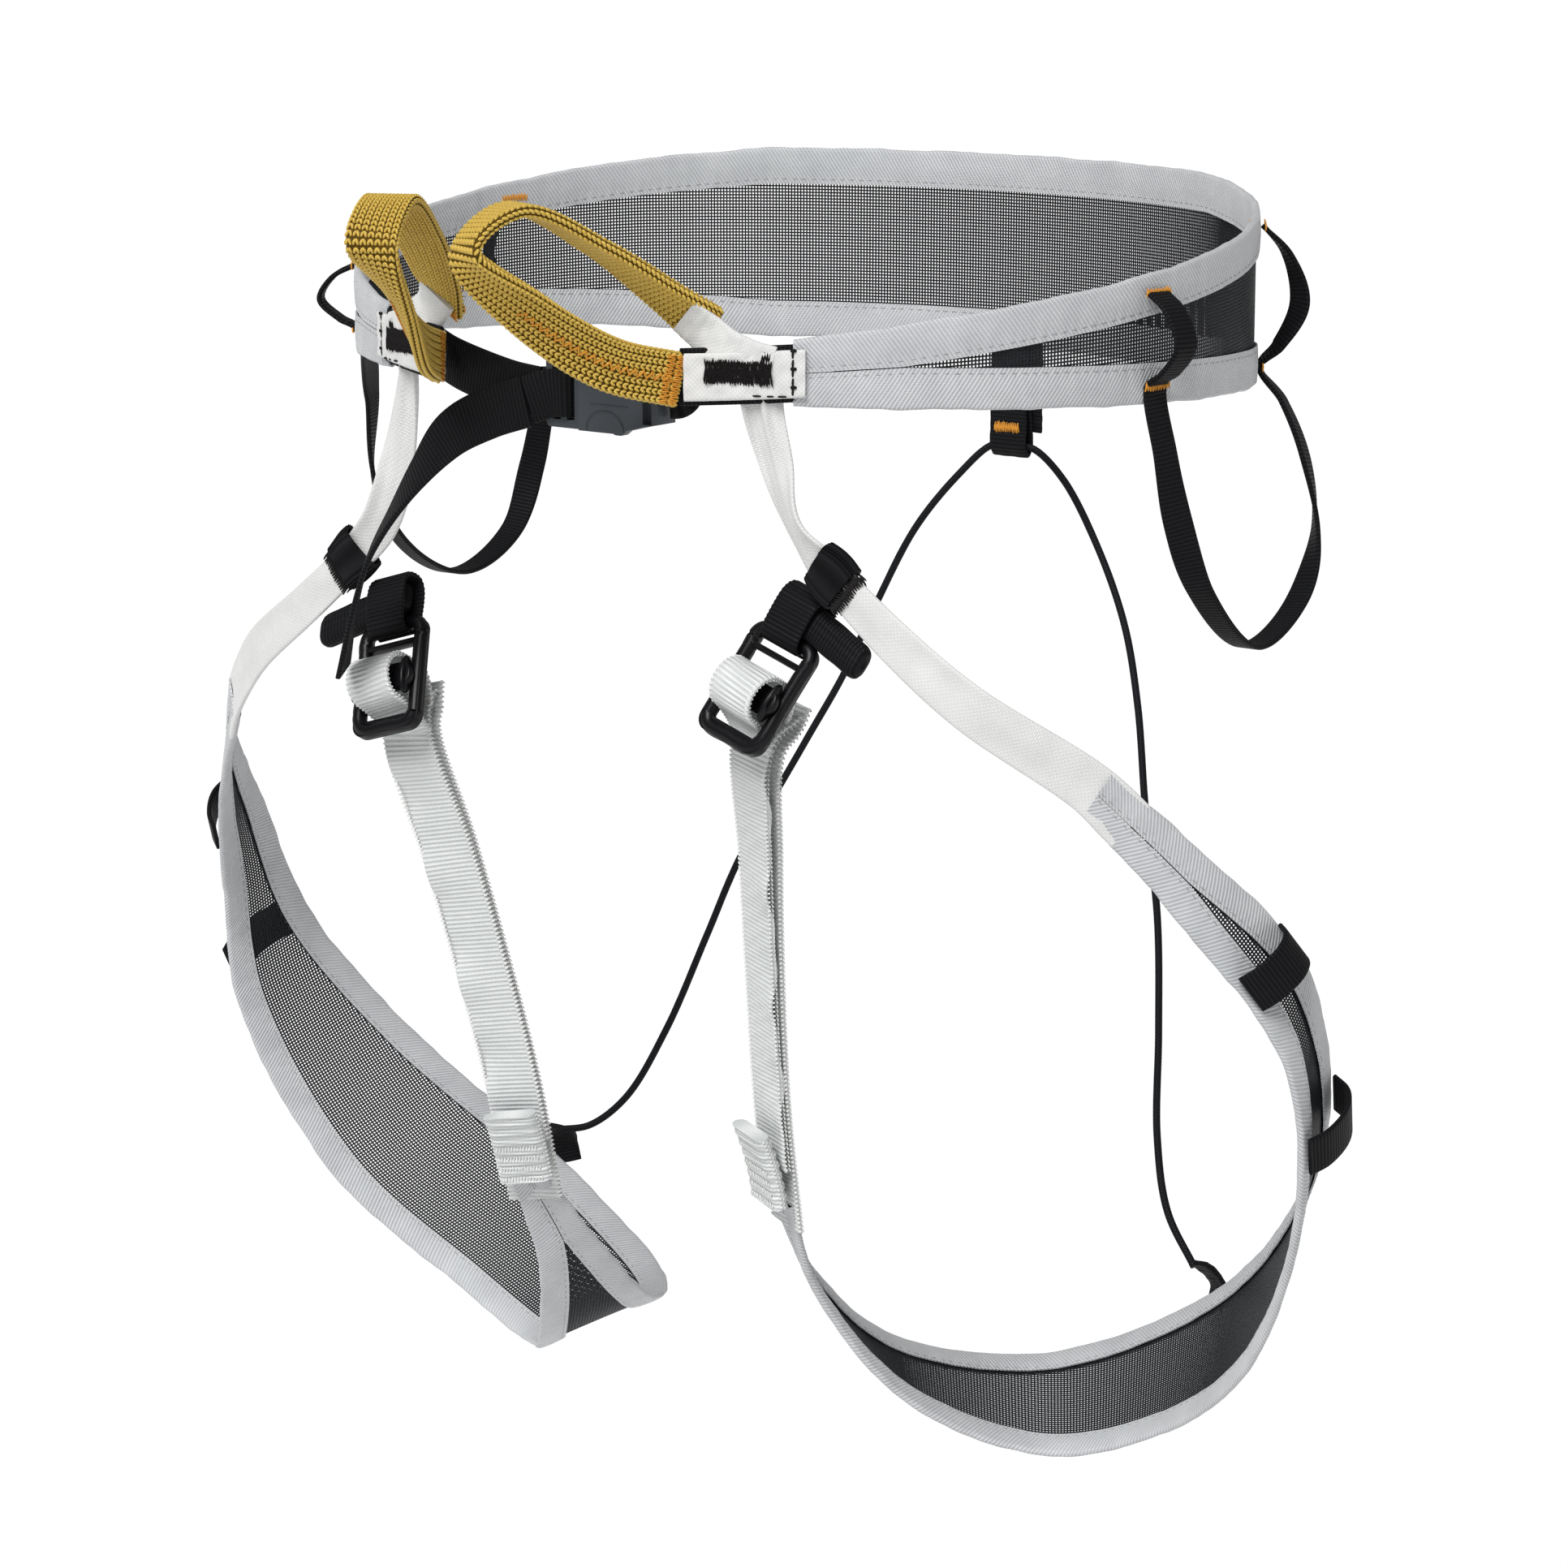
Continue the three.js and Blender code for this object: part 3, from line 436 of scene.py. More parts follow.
def threads(lines, across, normal, width=NET_THREAD, depth=NET_DEPTH):
    """Thin flat threads with closed ends, one along each line of points."""
    shapes_points, shapes_faces, start = [], [], 0
    for line, side, out in zip(lines, across, normal):
        side, out = side * width / 2, out * depth / 2
        corners = [line - side - out, line + side - out, line + side + out, line - side + out]
        ring = np.stack(corners, axis=1)
        count = len(line)
        numbers = np.arange(count * 4).reshape(count, 4)
        wrapped = np.concatenate([numbers, numbers[:, :1]], axis=1)
        ends = np.array([numbers[0], numbers[-1][::-1]])
        shapes_faces.append(np.vstack([grid_faces(wrapped)[:, ::-1], ends[:, ::-1]]) + start)
        shapes_points.append(ring.reshape(-1, 3))
        start += count * 4
    return Shape(np.vstack(shapes_points), np.vstack(shapes_faces)).facing_out()


STRAND_PLACES = np.array([-1.0, -0.72, 0.0, 0.72, 1.0])
STRAND_SIZES = np.array([0.35, 0.85, 1.0, 0.85, 0.35])


def strands(centres, directions, normals, length, width, height, sink=0.0, sides=6, material=0):
    """Short rounded bits of thread, with their ends sunk into the cloth by sink."""
    centres, directions, normals = (
        np.asarray(a, float).reshape(-1, 3) for a in (centres, directions, normals)
    )
    directions = np.broadcast_to(unit(directions), centres.shape)
    normals = np.broadcast_to(normals, centres.shape)
    normals = unit(normals - directions * np.sum(normals * directions, axis=1, keepdims=True))
    sideways = np.cross(directions, normals)
    length, width, height = (
        np.broadcast_to(np.asarray(a, float), len(centres)) for a in (length, width, height)
    )
    angle = np.arange(sides) * 2 * np.pi / sides + np.pi / sides
    spine = centres[:, None] + directions[:, None] * (STRAND_PLACES[:, None] * length[:, None, None] / 2)
    spine = spine - normals[:, None] * (sink * STRAND_PLACES**2)[:, None]
    ring_x = (STRAND_SIZES[:, None] * np.cos(angle))[None] * width[:, None, None] / 2
    ring_y = (STRAND_SIZES[:, None] * np.sin(angle))[None] * height[:, None, None] / 2
    points = spine[:, :, None] + sideways[:, None, None] * ring_x[..., None]
    points = points + normals[:, None, None] * ring_y[..., None]
    rings = len(STRAND_PLACES)
    numbers = np.arange(rings * sides).reshape(rings, sides)
    wall = grid_faces(np.concatenate([numbers, numbers[:, :1]], axis=1))
    caps = []
    for ring in (numbers[0], numbers[-1][::-1]):
        caps += [[ring[0], ring[k], ring[k + 1], ring[k + 2]] for k in range(1, sides - 2, 2)]
    one = np.vstack([wall, np.array(caps)])
    every = one[None] + (np.arange(len(centres)) * rings * sides)[:, None, None]
    weave = np.zeros((len(centres), rings, sides, 2))
    weave[..., 1] = STRAND_PLACES[:, None] * length[:, None, None] / 2
    weave[..., 0] = np.arange(len(centres))[:, None, None]
    return Shape(points.reshape(-1, 3), every.reshape(-1, 4), weave, material).facing_out()


def bartack(centre, along, out, length, height, material, seed, pitch=0.34, thread=0.42):
    """A dense bar of stitching: short threads side by side across the bar, with ragged ends."""
    chance = np.random.default_rng(seed)
    along, out = unit(np.asarray(along, float)), unit(np.asarray(out, float))
    up = np.cross(out, along)
    count = int(length / pitch)
    places = (np.arange(count) + 0.5) * pitch - length / 2
    slant = np.where(np.arange(count) % 2 == 0, 0.16, -0.16) + chance.normal(0, 0.04, count)
    centres = np.asarray(centre, float) + along * places[:, None]
    centres = centres + up * chance.normal(0, 0.05 * height, count)[:, None]
    directions = up + along * slant[:, None]
    long = height * chance.uniform(0.88, 1.1, count)
    return strands(
        centres, directions, out, long, thread, height=thread * 1.2, sink=0.22, material=material,
    )


# ---- Finishes -------------------------------------------------------------------------------------


class Finish:
    """A material being built: socket values set on the shader, patterns linked into it."""

    def __init__(self, name, **settings):
        self.material = bpy.data.materials.new(name)
        self.material.use_nodes = True
        self.tree = self.material.node_tree
        self.shader = self.tree.nodes["Principled BSDF"]
        for socket, value in settings.items():
            self.shader.inputs[socket.replace("_", " ")].default_value = value

    def node(self, kind, *inputs, output=0, **settings):
        """An output of a new node; inputs are sockets to link, values to set, or None to leave alone."""
        made = self.tree.nodes.new("ShaderNode" + kind)
        for name, value in settings.items():
            setattr(made, name, value)
        for index, value in enumerate(inputs):
            if isinstance(value, bpy.types.NodeSocket):
                self.tree.links.new(value, made.inputs[index])
            elif value is not None:
                made.inputs[index].default_value = value
        return made.outputs[output]

    def math(self, operation, *values):
        return self.node("Math", *values, operation=operation)

    def weave(self):
        """Where a point is in the cloth: across it and along it, in millimetres."""
        spot = self.node("UVMap", uv_map="Weave")
        return self.node("SeparateXYZ", spot), self.node("SeparateXYZ", spot, output=1)

    def wave(self, distance, pitch):
        turned = self.math("SINE", self.math("MULTIPLY", distance, 2 * np.pi / pitch))
        return self.math("MULTIPLY_ADD", turned, 0.5, 0.5)

    def twill(self, across, along, pitch, lean=1.0):
        return self.wave(self.math("MULTIPLY_ADD", across, lean, along), pitch)

    def noise(self, size, detail=2.0):
        """Uneven cloudiness, its patches about size millimetres across."""
        place = self.node("TexCoord", output=3)
        return self.node("TexNoise", place, None, 1 / (size * MM), detail)

    def sum(self, *weighted):
        """Patterns added up, each by its share."""
        total = 0.0
        for share, value in weighted:
            total = self.math("MULTIPLY_ADD", value, share, total)
        return total

    def colour(self, share, dark, light):
        """A colour between dark and light."""
        made = self.node("Mix", share, data_type="RGBA", output=2).node
        made.inputs[6].default_value = (*dark, 1)
        made.inputs[7].default_value = (*light, 1)
        return made.outputs[2]

    def dress(self, height, dark, light, depth, smooth, rough, shade=None):
        """Colours, roughness and relief all follow one pattern of raised and sunken threads."""
        colours = self.colour(shade or height, dark, light)
        self.tree.links.new(colours, self.shader.inputs["Base Color"])
        gloss = self.node("MapRange", height, 0.0, 1.0, rough, smooth)
        self.tree.links.new(gloss, self.shader.inputs["Roughness"])
        bump = self.tree.nodes.new("ShaderNodeBump")
        bump.inputs["Distance"].default_value = depth * MM
        self.tree.links.new(height, bump.inputs["Height"])
        self.tree.links.new(bump.outputs[0], self.shader.inputs["Normal"])
        return self.material


def net_finish():
    finish = Finish("net", Specular_IOR_Level=0.12)
    return finish.dress(
        finish.noise(0.8), dark=(0.004, 0.0045, 0.0055), light=(0.022, 0.024, 0.028), depth=0.05,
        smooth=0.42, rough=0.6,
    )


def tape_finish():
    finish = Finish("tape", Sheen_Weight=0.25, Sheen_Roughness=0.4)
    across, along = finish.weave()
    lines = finish.twill(across, along, 1.15, 0.85)
    threads_across = finish.wave(across, 0.34)
    # 9 mm patches of painted light and shade
    painted_light_and_shade = finish.noise(9.0)
    fine = finish.noise(0.5)
    height = finish.sum((0.55, lines), (0.2, threads_across), (0.25, fine))
    # The colour paints light: the twill lines are a weave pattern and also painted glints, and the 9 mm
    # patches are painted light and shade; the fine noise is random tone.
    shade = finish.sum((0.42, lines), (0.38, painted_light_and_shade), (0.2, fine))
    return finish.dress(
        height, dark=(0.27, 0.28, 0.295), light=(0.65, 0.66, 0.675), depth=0.26, smooth=0.38,
        rough=0.75, shade=shade,
    )


def riser_finish():
    finish = Finish("riser_webbing", Sheen_Weight=0.3, Sheen_Roughness=0.4)
    across, along = finish.weave()
    dots = finish.math(
        "MULTIPLY", finish.twill(across, along, 1.3, 1.0), finish.twill(across, along, 1.3, -1.0),
    )
    ribs = finish.wave(along, 0.62)
    fine = finish.noise(0.6)
    height = finish.sum((0.4, dots), (0.35, ribs), (0.25, fine))
    shade = finish.sum((0.35, dots), (0.35, finish.noise(7.0)), (0.3, fine))
    return finish.dress(
        height, dark=(0.50, 0.505, 0.50), light=(0.74, 0.74, 0.725), depth=0.14, smooth=0.45,
        rough=0.75, shade=shade,
    )


def strap_finish():
    finish = Finish("adjuster_webbing", Sheen_Weight=0.35, Sheen_Roughness=0.35)
    across, along = finish.weave()
    ribs = finish.wave(finish.math("MULTIPLY_ADD", across, 0.09, along), 1.35)
    yarns = finish.wave(across, 0.55)
    height = finish.sum((0.65, ribs), (0.2, yarns), (0.15, finish.noise(0.5)))
    # The colour paints shade into the grooves between the ribs, darker where the ribs sink; the two noises
    # are random tone.
    shade = finish.sum((0.5, ribs), (0.25, finish.noise(10.0)), (0.25, finish.noise(0.7)))
    return finish.dress(
        height, dark=(0.40, 0.42, 0.42), light=(0.76, 0.775, 0.77), depth=0.3, smooth=0.36, rough=0.68,
        shade=shade,
    )


def black_webbing_finish():
    finish = Finish("black_webbing", Sheen_Weight=0.01, Specular_IOR_Level=0.09)
    across, along = finish.weave()
    ribs = finish.wave(along, 1.15)
    yarns = finish.wave(across, 0.7)
    height = finish.sum((0.6, ribs), (0.25, yarns), (0.15, finish.noise(0.5)))
    return finish.dress(
        height, dark=(0.0012, 0.0012, 0.0016), light=(0.0095, 0.0098, 0.0115), depth=0.16, smooth=0.42,
        rough=0.85,
    )


def cord_finish():
    finish = Finish("elastic_cord", Specular_IOR_Level=0.1)
    across, along = finish.weave()
    plait = finish.math(
        "MAXIMUM", finish.twill(across, along, 1.1, 0.9), finish.twill(across, along, 1.1, -0.9),
    )
    return finish.dress(
        plait, dark=(0.001, 0.001, 0.0015), light=(0.009, 0.0095, 0.012), depth=0.1, smooth=0.45,
        rough=0.8,
    )


def thread_finish(name, dark, light, rough=0.5, shine=0.3):
    """Two-ply sewing thread, its twist showing as slanted ridges."""
    finish = Finish(name, Specular_IOR_Level=shine)
    across, along = finish.weave()
    twist = finish.sum((0.7, finish.wave(along, 0.5)), (0.3, finish.noise(0.4)))
    shade = finish.sum((0.4, twist), (0.6, finish.noise(1.1)))
    return finish.dress(twist, dark, light, depth=0.06, smooth=rough, rough=rough + 0.25, shade=shade)


def plastic_finish(name, dark, light, rough, shine):
    """Moulded plastic with a fine spark-eroded grain."""
    finish = Finish(name, Specular_IOR_Level=shine)
    grain = finish.noise(0.35, 3.0)
    shade = finish.sum((0.4, grain), (0.6, finish.noise(8.0)))
    return finish.dress(grain, dark, light, depth=0.025, smooth=rough, rough=rough + 0.16, shade=shade)


NET = net_finish()
TAPE = tape_finish()
RISER = riser_finish()
STRAP = strap_finish()
BLACK = black_webbing_finish()
ELASTIC = cord_finish()
GOLD_YARN = thread_finish("gold_yarn", dark=(0.40, 0.235, 0.018), light=(0.74, 0.54, 0.12), rough=0.36)
# The core shows only in the grooves between the wales; its dark brown is painted shade there.
GOLD_CORE_GROOVE_SHADE = thread_finish("gold_core_groove_shade", dark=(0.05, 0.026, 0.001), light=(0.13, 0.072, 0.004), rough=0.8)
ORANGE = thread_finish("orange_thread", dark=(0.42, 0.13, 0.008), light=(0.75, 0.36, 0.04))
GREY_THREAD = thread_finish("grey_thread", dark=(0.20, 0.205, 0.21), light=(0.34, 0.345, 0.35))
BLACK_THREAD = thread_finish(
    "black_thread", dark=(0.0015, 0.0012, 0.0012), light=(0.014, 0.012, 0.012), rough=0.45, shine=0.12,
)
WHITE_THREAD = thread_finish("white_thread", dark=(0.55, 0.56, 0.55), light=(0.8, 0.8, 0.78))
GREY_PLASTIC = plastic_finish(
    "grey_plastic", dark=(0.026, 0.031, 0.038), light=(0.042, 0.05, 0.06), rough=0.34, shine=0.35,
)
BLACK_PLASTIC = plastic_finish(
    "black_plastic", dark=(0.0015, 0.0015, 0.002), light=(0.0045, 0.0045, 0.006), rough=0.26,
    shine=0.2,
)


# ---- Making pieces --------------------------------------------------------------------------------

SHARP_EDGE = np.radians(52)
MEASURE_STEPS = 400


def make(name, shape, *materials):
    mesh = bpy.data.meshes.new(name)
    mesh.vertices.add(len(shape.points))
    mesh.vertices.foreach_set("co", (shape.points * MM).astype(np.float32).ravel())
    mesh.loops.add(shape.faces.size)
    mesh.loops.foreach_set("vertex_index", shape.faces.astype(np.int32).ravel())
    mesh.polygons.add(len(shape.faces))
    mesh.polygons.foreach_set("loop_start", np.arange(len(shape.faces), dtype=np.int32) * 4)
    mesh.polygons.foreach_set("material_index", shape.material.astype(np.int32))
    mesh.polygons.foreach_set("use_smooth", np.ones(len(shape.faces), bool))
    mesh.update(calc_edges=True)
    weave = mesh.uv_layers.new(name="Weave")
    weave.data.foreach_set("uv", shape.weave[shape.faces].astype(np.float32).ravel())
    mesh.set_sharp_from_angle(angle=SHARP_EDGE)
    for material in materials:
        mesh.materials.append(material)
    obj = bpy.data.objects.new(name, mesh)
    bpy.context.scene.collection.objects.link(obj)
    return obj


def finish_piece(obj, stands_for, slot):
    if stands_for:
        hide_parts(*stands_for)
    return obj


def on_body(name, shape, materials, body, slot, *stands_for):
    obj = make(name, shape, *materials)
    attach(obj, body)
    return finish_piece(obj, stands_for, slot)


def between(name, shape, materials, bodies, start, end, slot, *stands_for):
    """A piece between two bodies, its transform baked into its points; start and end are in millimetres."""
    obj = make(name, shape, *materials)
    np.array(start) * MM
    np.array(end) * MM
    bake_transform(obj)
    return finish_piece(obj, stands_for, slot)


def on_both_legs(name, shape, materials, slot, *nodes, body="leg"):
    """A piece on the left leg loop and its fellow on the right one."""
    pieces = {}
    for side, made in ((LEFT, shape), (RIGHT, shape.to_right())):
        stands_for = [f"{node}_{side}" for node in nodes]
        pieces[side] = on_body(f"{name}_{side}", made, materials, f"{body}_{side}", slot, *stands_for)
    return pieces


def even_shares(frame_at, pitch, start=0.0, end=1.0, phase=0.5):
    """Shares of a strap's route that lie pitch millimetres apart."""
    share = np.linspace(start, end, MEASURE_STEPS)
    along = lengths_along(frame_at(share)[0])
    distances = np.arange(phase * pitch, along[-1], pitch)
    return np.interp(distances, along, share)


def running_stitch(line, out, material, seed, pitch=STITCH_PITCH):
    """A row of stitches lying on a line of points, each sinking at its ends."""
    chance = np.random.default_rng(seed)
    along = lengths_along(line)
    places = np.arange(pitch / 2, along[-1], pitch)
    places = places + chance.normal(0, 0.05 * pitch, len(places))
    ahead = [np.interp(places + 0.3, along, line[:, k]) for k in range(3)]
    behind = [np.interp(places - 0.3, along, line[:, k]) for k in range(3)]
    middle = np.stack([np.interp(places, along, line[:, k]) for k in range(3)], axis=1)
    normal = unit(np.stack([np.interp(places, along, out[:, k]) for k in range(3)], axis=1))
    direction = np.stack(ahead, axis=1) - np.stack(behind, axis=1)
    long = STITCH_LENGTH * chance.uniform(0.9, 1.08, len(places))
    thick, high = STITCH_THICK, STITCH_THICK * 0.8
    return strands(middle, direction, normal, long, thick, high, STITCH_SINK, material=material)


# ---- Stage ----------------------------------------------------------------------------------------


def add_camera():
    data = bpy.data.cameras.new("camera")
    data.lens = CAMERA_LENS
    camera = bpy.data.objects.new("camera", data)
    camera.location = CAMERA_PLACE
    aim = Vector(CAMERA_TARGET) - Vector(CAMERA_PLACE)
    camera.rotation_euler = aim.to_track_quat("-Z", "Y").to_euler()
    bpy.context.scene.collection.objects.link(camera)
    bpy.context.scene.camera = camera


def add_floor():
    half = FLOOR_SIZE / 2
    mesh = bpy.data.meshes.new("floor")
    corners = [(-half, -half), (half, -half), (half, half), (-half, half)]
    mesh.from_pydata([(x, y, FLOOR_HEIGHT) for x, y in corners], [], [(0, 1, 2, 3)])
    paper = Finish("paper", Roughness=0.9, Specular_IOR_Level=0.1)
    shade = paper.colour(paper.noise(900.0), (0.93, 0.93, 0.93), (0.96, 0.96, 0.96))
    paper.tree.links.new(shade, paper.shader.inputs["Base Color"])
    mesh.materials.append(paper.material)
    floor = bpy.data.objects.new("floor", mesh)
    bpy.context.scene.collection.objects.link(floor)


def add_sun(name, strength, direction, softness):
    data = bpy.data.lights.new(name, "SUN")
    data.energy = strength
    data.angle = np.radians(softness)
    sun = bpy.data.objects.new(name, data)
    sun.rotation_euler = Vector(direction).to_track_quat("-Z", "Y").to_euler()
    bpy.context.scene.collection.objects.link(sun)


WORLD_LIGHT = 0.3
KEY_LIGHT = 3.3


def light_scene():
    world = bpy.data.worlds.new("studio")
    world.use_nodes = True
    background = world.node_tree.nodes["Background"]
    background.inputs["Color"].default_value = (1, 1, 1, 1)
    background.inputs["Strength"].default_value = WORLD_LIGHT
    bpy.context.scene.world = world
    add_sun("key", KEY_LIGHT, direction=(-0.12, 0.62, -0.77), softness=30)
    bpy.context.scene.view_settings.view_transform = "Standard"


# ---- Elastic cords --------------------------------------------------------------------------------

CORD_SIDES = 14
CORD_STEP = 1.5


def round_cord(route, diameter):
    """A round tube along a route, its sides carried along without twisting."""
    curve = Curve(route)
    share = curve.even(np.linspace(0, 1, int(curve.length / CORD_STEP)))
    line, along = curve.at(share), curve.tangent(share)
    side = unit(np.cross(along, (0.3, 0.2, 0.93)))
    up = np.cross(side, along)
    angle = np.arange(CORD_SIDES) * 2 * np.pi / CORD_SIDES
    ring = side[:, None] * np.cos(angle)[:, None] + up[:, None] * np.sin(angle)[:, None]
    rows = line[:, None] + ring * diameter / 2
    tips = [line[k] + (rows[k] - line[k]) * 0.12 for k in (0, -1)]
    rings = np.concatenate([tips[:1], rows, tips[1:]])
    distance = np.concatenate([[0], lengths_along(line), [curve.length]])
    around = np.arange(CORD_SIDES) * np.pi * diameter / CORD_SIDES
    weave = np.stack(np.broadcast_arrays(around[None], distance[:, None]), axis=-1)
    return loft(rings, weave), line, curve.length


def add_cords():
    for side in (LEFT, RIGHT):
        shape, line, length = round_cord(CORD_ROUTE[side], CORD_DIAMETER)
        cord = between(
            f"elastic_{side}", shape, [ELASTIC], ("belt", f"leg_{side}"),
            CORD_ROUTE[side][1], CORD_ROUTE[side][-1], "elastic_cord", f"elastic_cord_{side}",
        )
        length * MM
        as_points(line * MM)


# ---- Waist belt -----------------------------------------------------------------------------------

TAPE_END_REACH = 0.826  # the tape runs on past the net, to the sewn line on the tie-in tab
BELT_MIDDLE_HEIGHT = -3.0
TAPE_GAP = 0.15  # half of what is left open where the two tapes meet


def belt_height(reach):
    """The belt's height, which tapers towards its two front ends."""
    return BELT_HEIGHT - BELT_TAPER * np.maximum(0, reach - BELT_TAPER_START)


def belt_middle(reach):
    """The height at which the belt's middle line lies; it drops towards the front."""
    past = np.maximum(0, reach - BELT_DROP_START) / (TAB_END_REACH - BELT_DROP_START)
    return BELT_MIDDLE_HEIGHT - BELT_DROP * past**1.3


def belt_surface(turn, z, outward=0.0):
    """A point on the belt; turn is -1 at the wearer's left front, 0 behind and 1 at the right front."""
    angle = np.pi / 2 + turn * np.pi
    x = (WAIST_HALF_WIDTH + outward) * np.cos(angle)
    y = (WAIST_HALF_DEPTH + outward) * np.sin(angle)
    return np.stack(np.broadcast_arrays(x, y, z), axis=-1)


def belt_outward(turn):
    """The direction out of the belt's face."""
    angle = np.pi / 2 + turn * np.pi
    x, y = WAIST_HALF_DEPTH * np.cos(angle), WAIST_HALF_WIDTH * np.sin(angle)
    return unit(np.stack([x, y, np.zeros_like(x)], axis=-1))


def belt_turn(share):
    return TAPE_END_REACH * (2 * np.asarray(share) - 1)


def belt_edge(side):
    """The frame of the belt's top edge (side 1) or bottom edge (side -1)."""

    def at(share):
        turn = belt_turn(share)
        reach = np.abs(turn)
        z = belt_middle(reach) + side * belt_height(reach) / 2
        across = np.broadcast_to((0.0, 0.0, -float(side)), (len(turn), 3))
        return belt_surface(turn, z), across, belt_outward(turn)

    return at


def belt_tape_reach(share):
    """How far the belt's tape reaches in from its edge, less where the belt is low."""
    return np.minimum(TAPE_WIDTH, belt_height(np.abs(belt_turn(share))) / 2 - TAPE_GAP)


def belt_net():
    """Threads round the belt at even heights, and upright ones between its two tapes."""
    top_offset = belt_height(0) / 2 - NET_INSET
    lines, across, normal = [], [], []
    up = np.array([[0.0, 0.0, 1.0]])
    for offset in np.arange(-top_offset, top_offset, NET_PITCH):
        narrowest = 2 * (abs(offset) + NET_INSET)
        reach = min(BELT_END_REACH, BELT_TAPER_START + (BELT_HEIGHT - narrowest) / BELT_TAPER)
        turn = np.linspace(-reach, reach, 170)
        lines.append(belt_surface(turn, belt_middle(np.abs(turn)) + offset))
        across.append(np.repeat(up, len(turn), axis=0))
        normal.append(belt_outward(turn))
    fine = np.linspace(-BELT_END_REACH, BELT_END_REACH, 2000)
    along = lengths_along(belt_surface(fine, 0.0))
    for turn in np.interp(np.arange(0, along[-1], NET_PITCH), along, fine):
        reach = abs(turn)
        half = belt_height(reach) / 2 - NET_INSET
        heights = belt_middle(reach) + np.array([-half, half])
        out = belt_outward(np.array([turn]))
        lines.append(belt_surface(turn, heights))
        across.append(np.repeat(np.cross(out, up), 2, axis=0))
        normal.append(np.repeat(out, 2, axis=0))
    return threads(lines, across, normal)


def bound_edge(frame_at, rows, reach, seed, **waves):
    """Folded tape with its row of stitches on both faces."""
    tape = fold(frame_at, rows, reach, seed, **waves)
    columns = len(tape.points) // (2 * rows)
    outer = tape.points[: rows * columns].reshape(rows, columns, 3)
    out = frame_at(np.linspace(0, 1, rows))[2]
    front = running_stitch(outer[:, 1], out, material=1, seed=seed)
    back = running_stitch(outer[:, -2], -out, material=1, seed=seed + 7)
    return tape + front + back


def add_belt():
    net = on_body("belt_net", belt_net(), [NET], "belt", "mesh", "belt_panel")
    for name, side, seed in (("top", 1, 11), ("bottom", -1, 12)):
        shape = bound_edge(
            belt_edge(side), rows=780, reach=belt_tape_reach, seed=seed, edge_wave=0.45, face_wave=0.4,
        )
        node = f"belt_binding_{name}"
        on_body(f"belt_tape_{name}", shape, [TAPE, GREY_THREAD], "belt", "tape", node)
    turn = np.linspace(-BELT_END_REACH, BELT_END_REACH, MEASURE_STEPS)
    steps = np.diff(lengths_along(belt_surface(turn, 0.0)), prepend=0)
    area = np.sum(steps * (belt_height(np.abs(turn)) - 2 * NET_INSET))
    width = belt_height(0.0) - 2 * NET_INSET


# ---- Leg loops: net and tape ----------------------------------------------------------------------

LEG_LOWER, LEG_UPPER = Curve(LOWER_EDGE), Curve(UPPER_EDGE)
LEG_ROWS = 420


def leg_panel(share):
    """The leg panel's low edge, high edge, unit direction across it and outward normal, at even shares."""
    low_share, high_share = LEG_LOWER.even(share), LEG_UPPER.even(share)
    low, high = LEG_LOWER.at(low_share), LEG_UPPER.at(high_share)
    across = unit(high - low)
    normal = unit(np.cross(LEG_LOWER.tangent(low_share) + LEG_UPPER.tangent(high_share), across))
    return low, high, across, normal


def leg_edge(upper):
    def at(share):
        low, high, across, normal = leg_panel(np.asarray(share))
        return (high, -across, normal) if upper else (low, across, normal)

    return at


def leg_tape_reach(share):
    """How far the leg's tape reaches in from its edge, less where the panel is narrow."""
    low, high, _, _ = leg_panel(np.asarray(share))
    return np.minimum(LEG_TAPE_WIDTH, np.linalg.norm(high - low, axis=1) / 2 - TAPE_GAP)


def leg_net():
    """Threads at even distances from the lower edge, and straight ones across the panel."""
    share = np.linspace(0, 1, 150)
    low, high, side, out = leg_panel(share)
    width = np.linalg.norm(high - low, axis=1)
    lines, across, normal = [], [], []
    for distance in np.arange(NET_INSET, width.max() - NET_INSET, NET_PITCH):
        inside = np.flatnonzero(width - NET_INSET > distance)
        for run in np.split(inside, np.flatnonzero(np.diff(inside) > 1) + 1):
            if len(run) > 2:
                lines.append(low[run] + side[run] * distance)
                across.append(side[run])
                normal.append(out[run])
    middle = (low + high) / 2
    along = lengths_along(middle)
    even = np.interp(np.arange(1.5, along[-1] - 1.5, NET_PITCH), along, share)
    low, high, side, out = leg_panel(even)
    for k in range(len(even)):
        ends = np.array([low[k] + side[k] * NET_INSET, high[k] - side[k] * NET_INSET])
        lines.append(ends)
        across.append(np.repeat(unit(np.cross(out[k], side[k]))[None], 2, axis=0))
        normal.append(np.repeat(out[k][None], 2, axis=0))
    return threads(lines, across, normal)


def add_leg_cloth():
    nets = on_both_legs("leg_net", leg_net(), [NET], "mesh", "leg_panel")
    tapes = {LEFT: [], RIGHT: []}
    for name, upper, seed in (("lower", False, 21), ("upper", True, 22)):
        shape = bound_edge(leg_edge(upper), LEG_ROWS, leg_tape_reach, seed, edge_wave=0.5, face_wave=0.4)
        made = on_both_legs(f"leg_tape_{name}", shape, [TAPE, GREY_THREAD], "tape", f"leg_binding_{name}")
        for side in tapes:
            tapes[side].append(made[side])
    share = np.linspace(0, 1, MEASURE_STEPS)
    low, high, _, _ = leg_panel(share)
    widths = np.linalg.norm(high - low, axis=1) - 2 * NET_INSET
    steps = np.diff(lengths_along((low + high) / 2), prepend=0)


# ---- Tie-in loops and the tabs that hold them -----------------------------------------------------

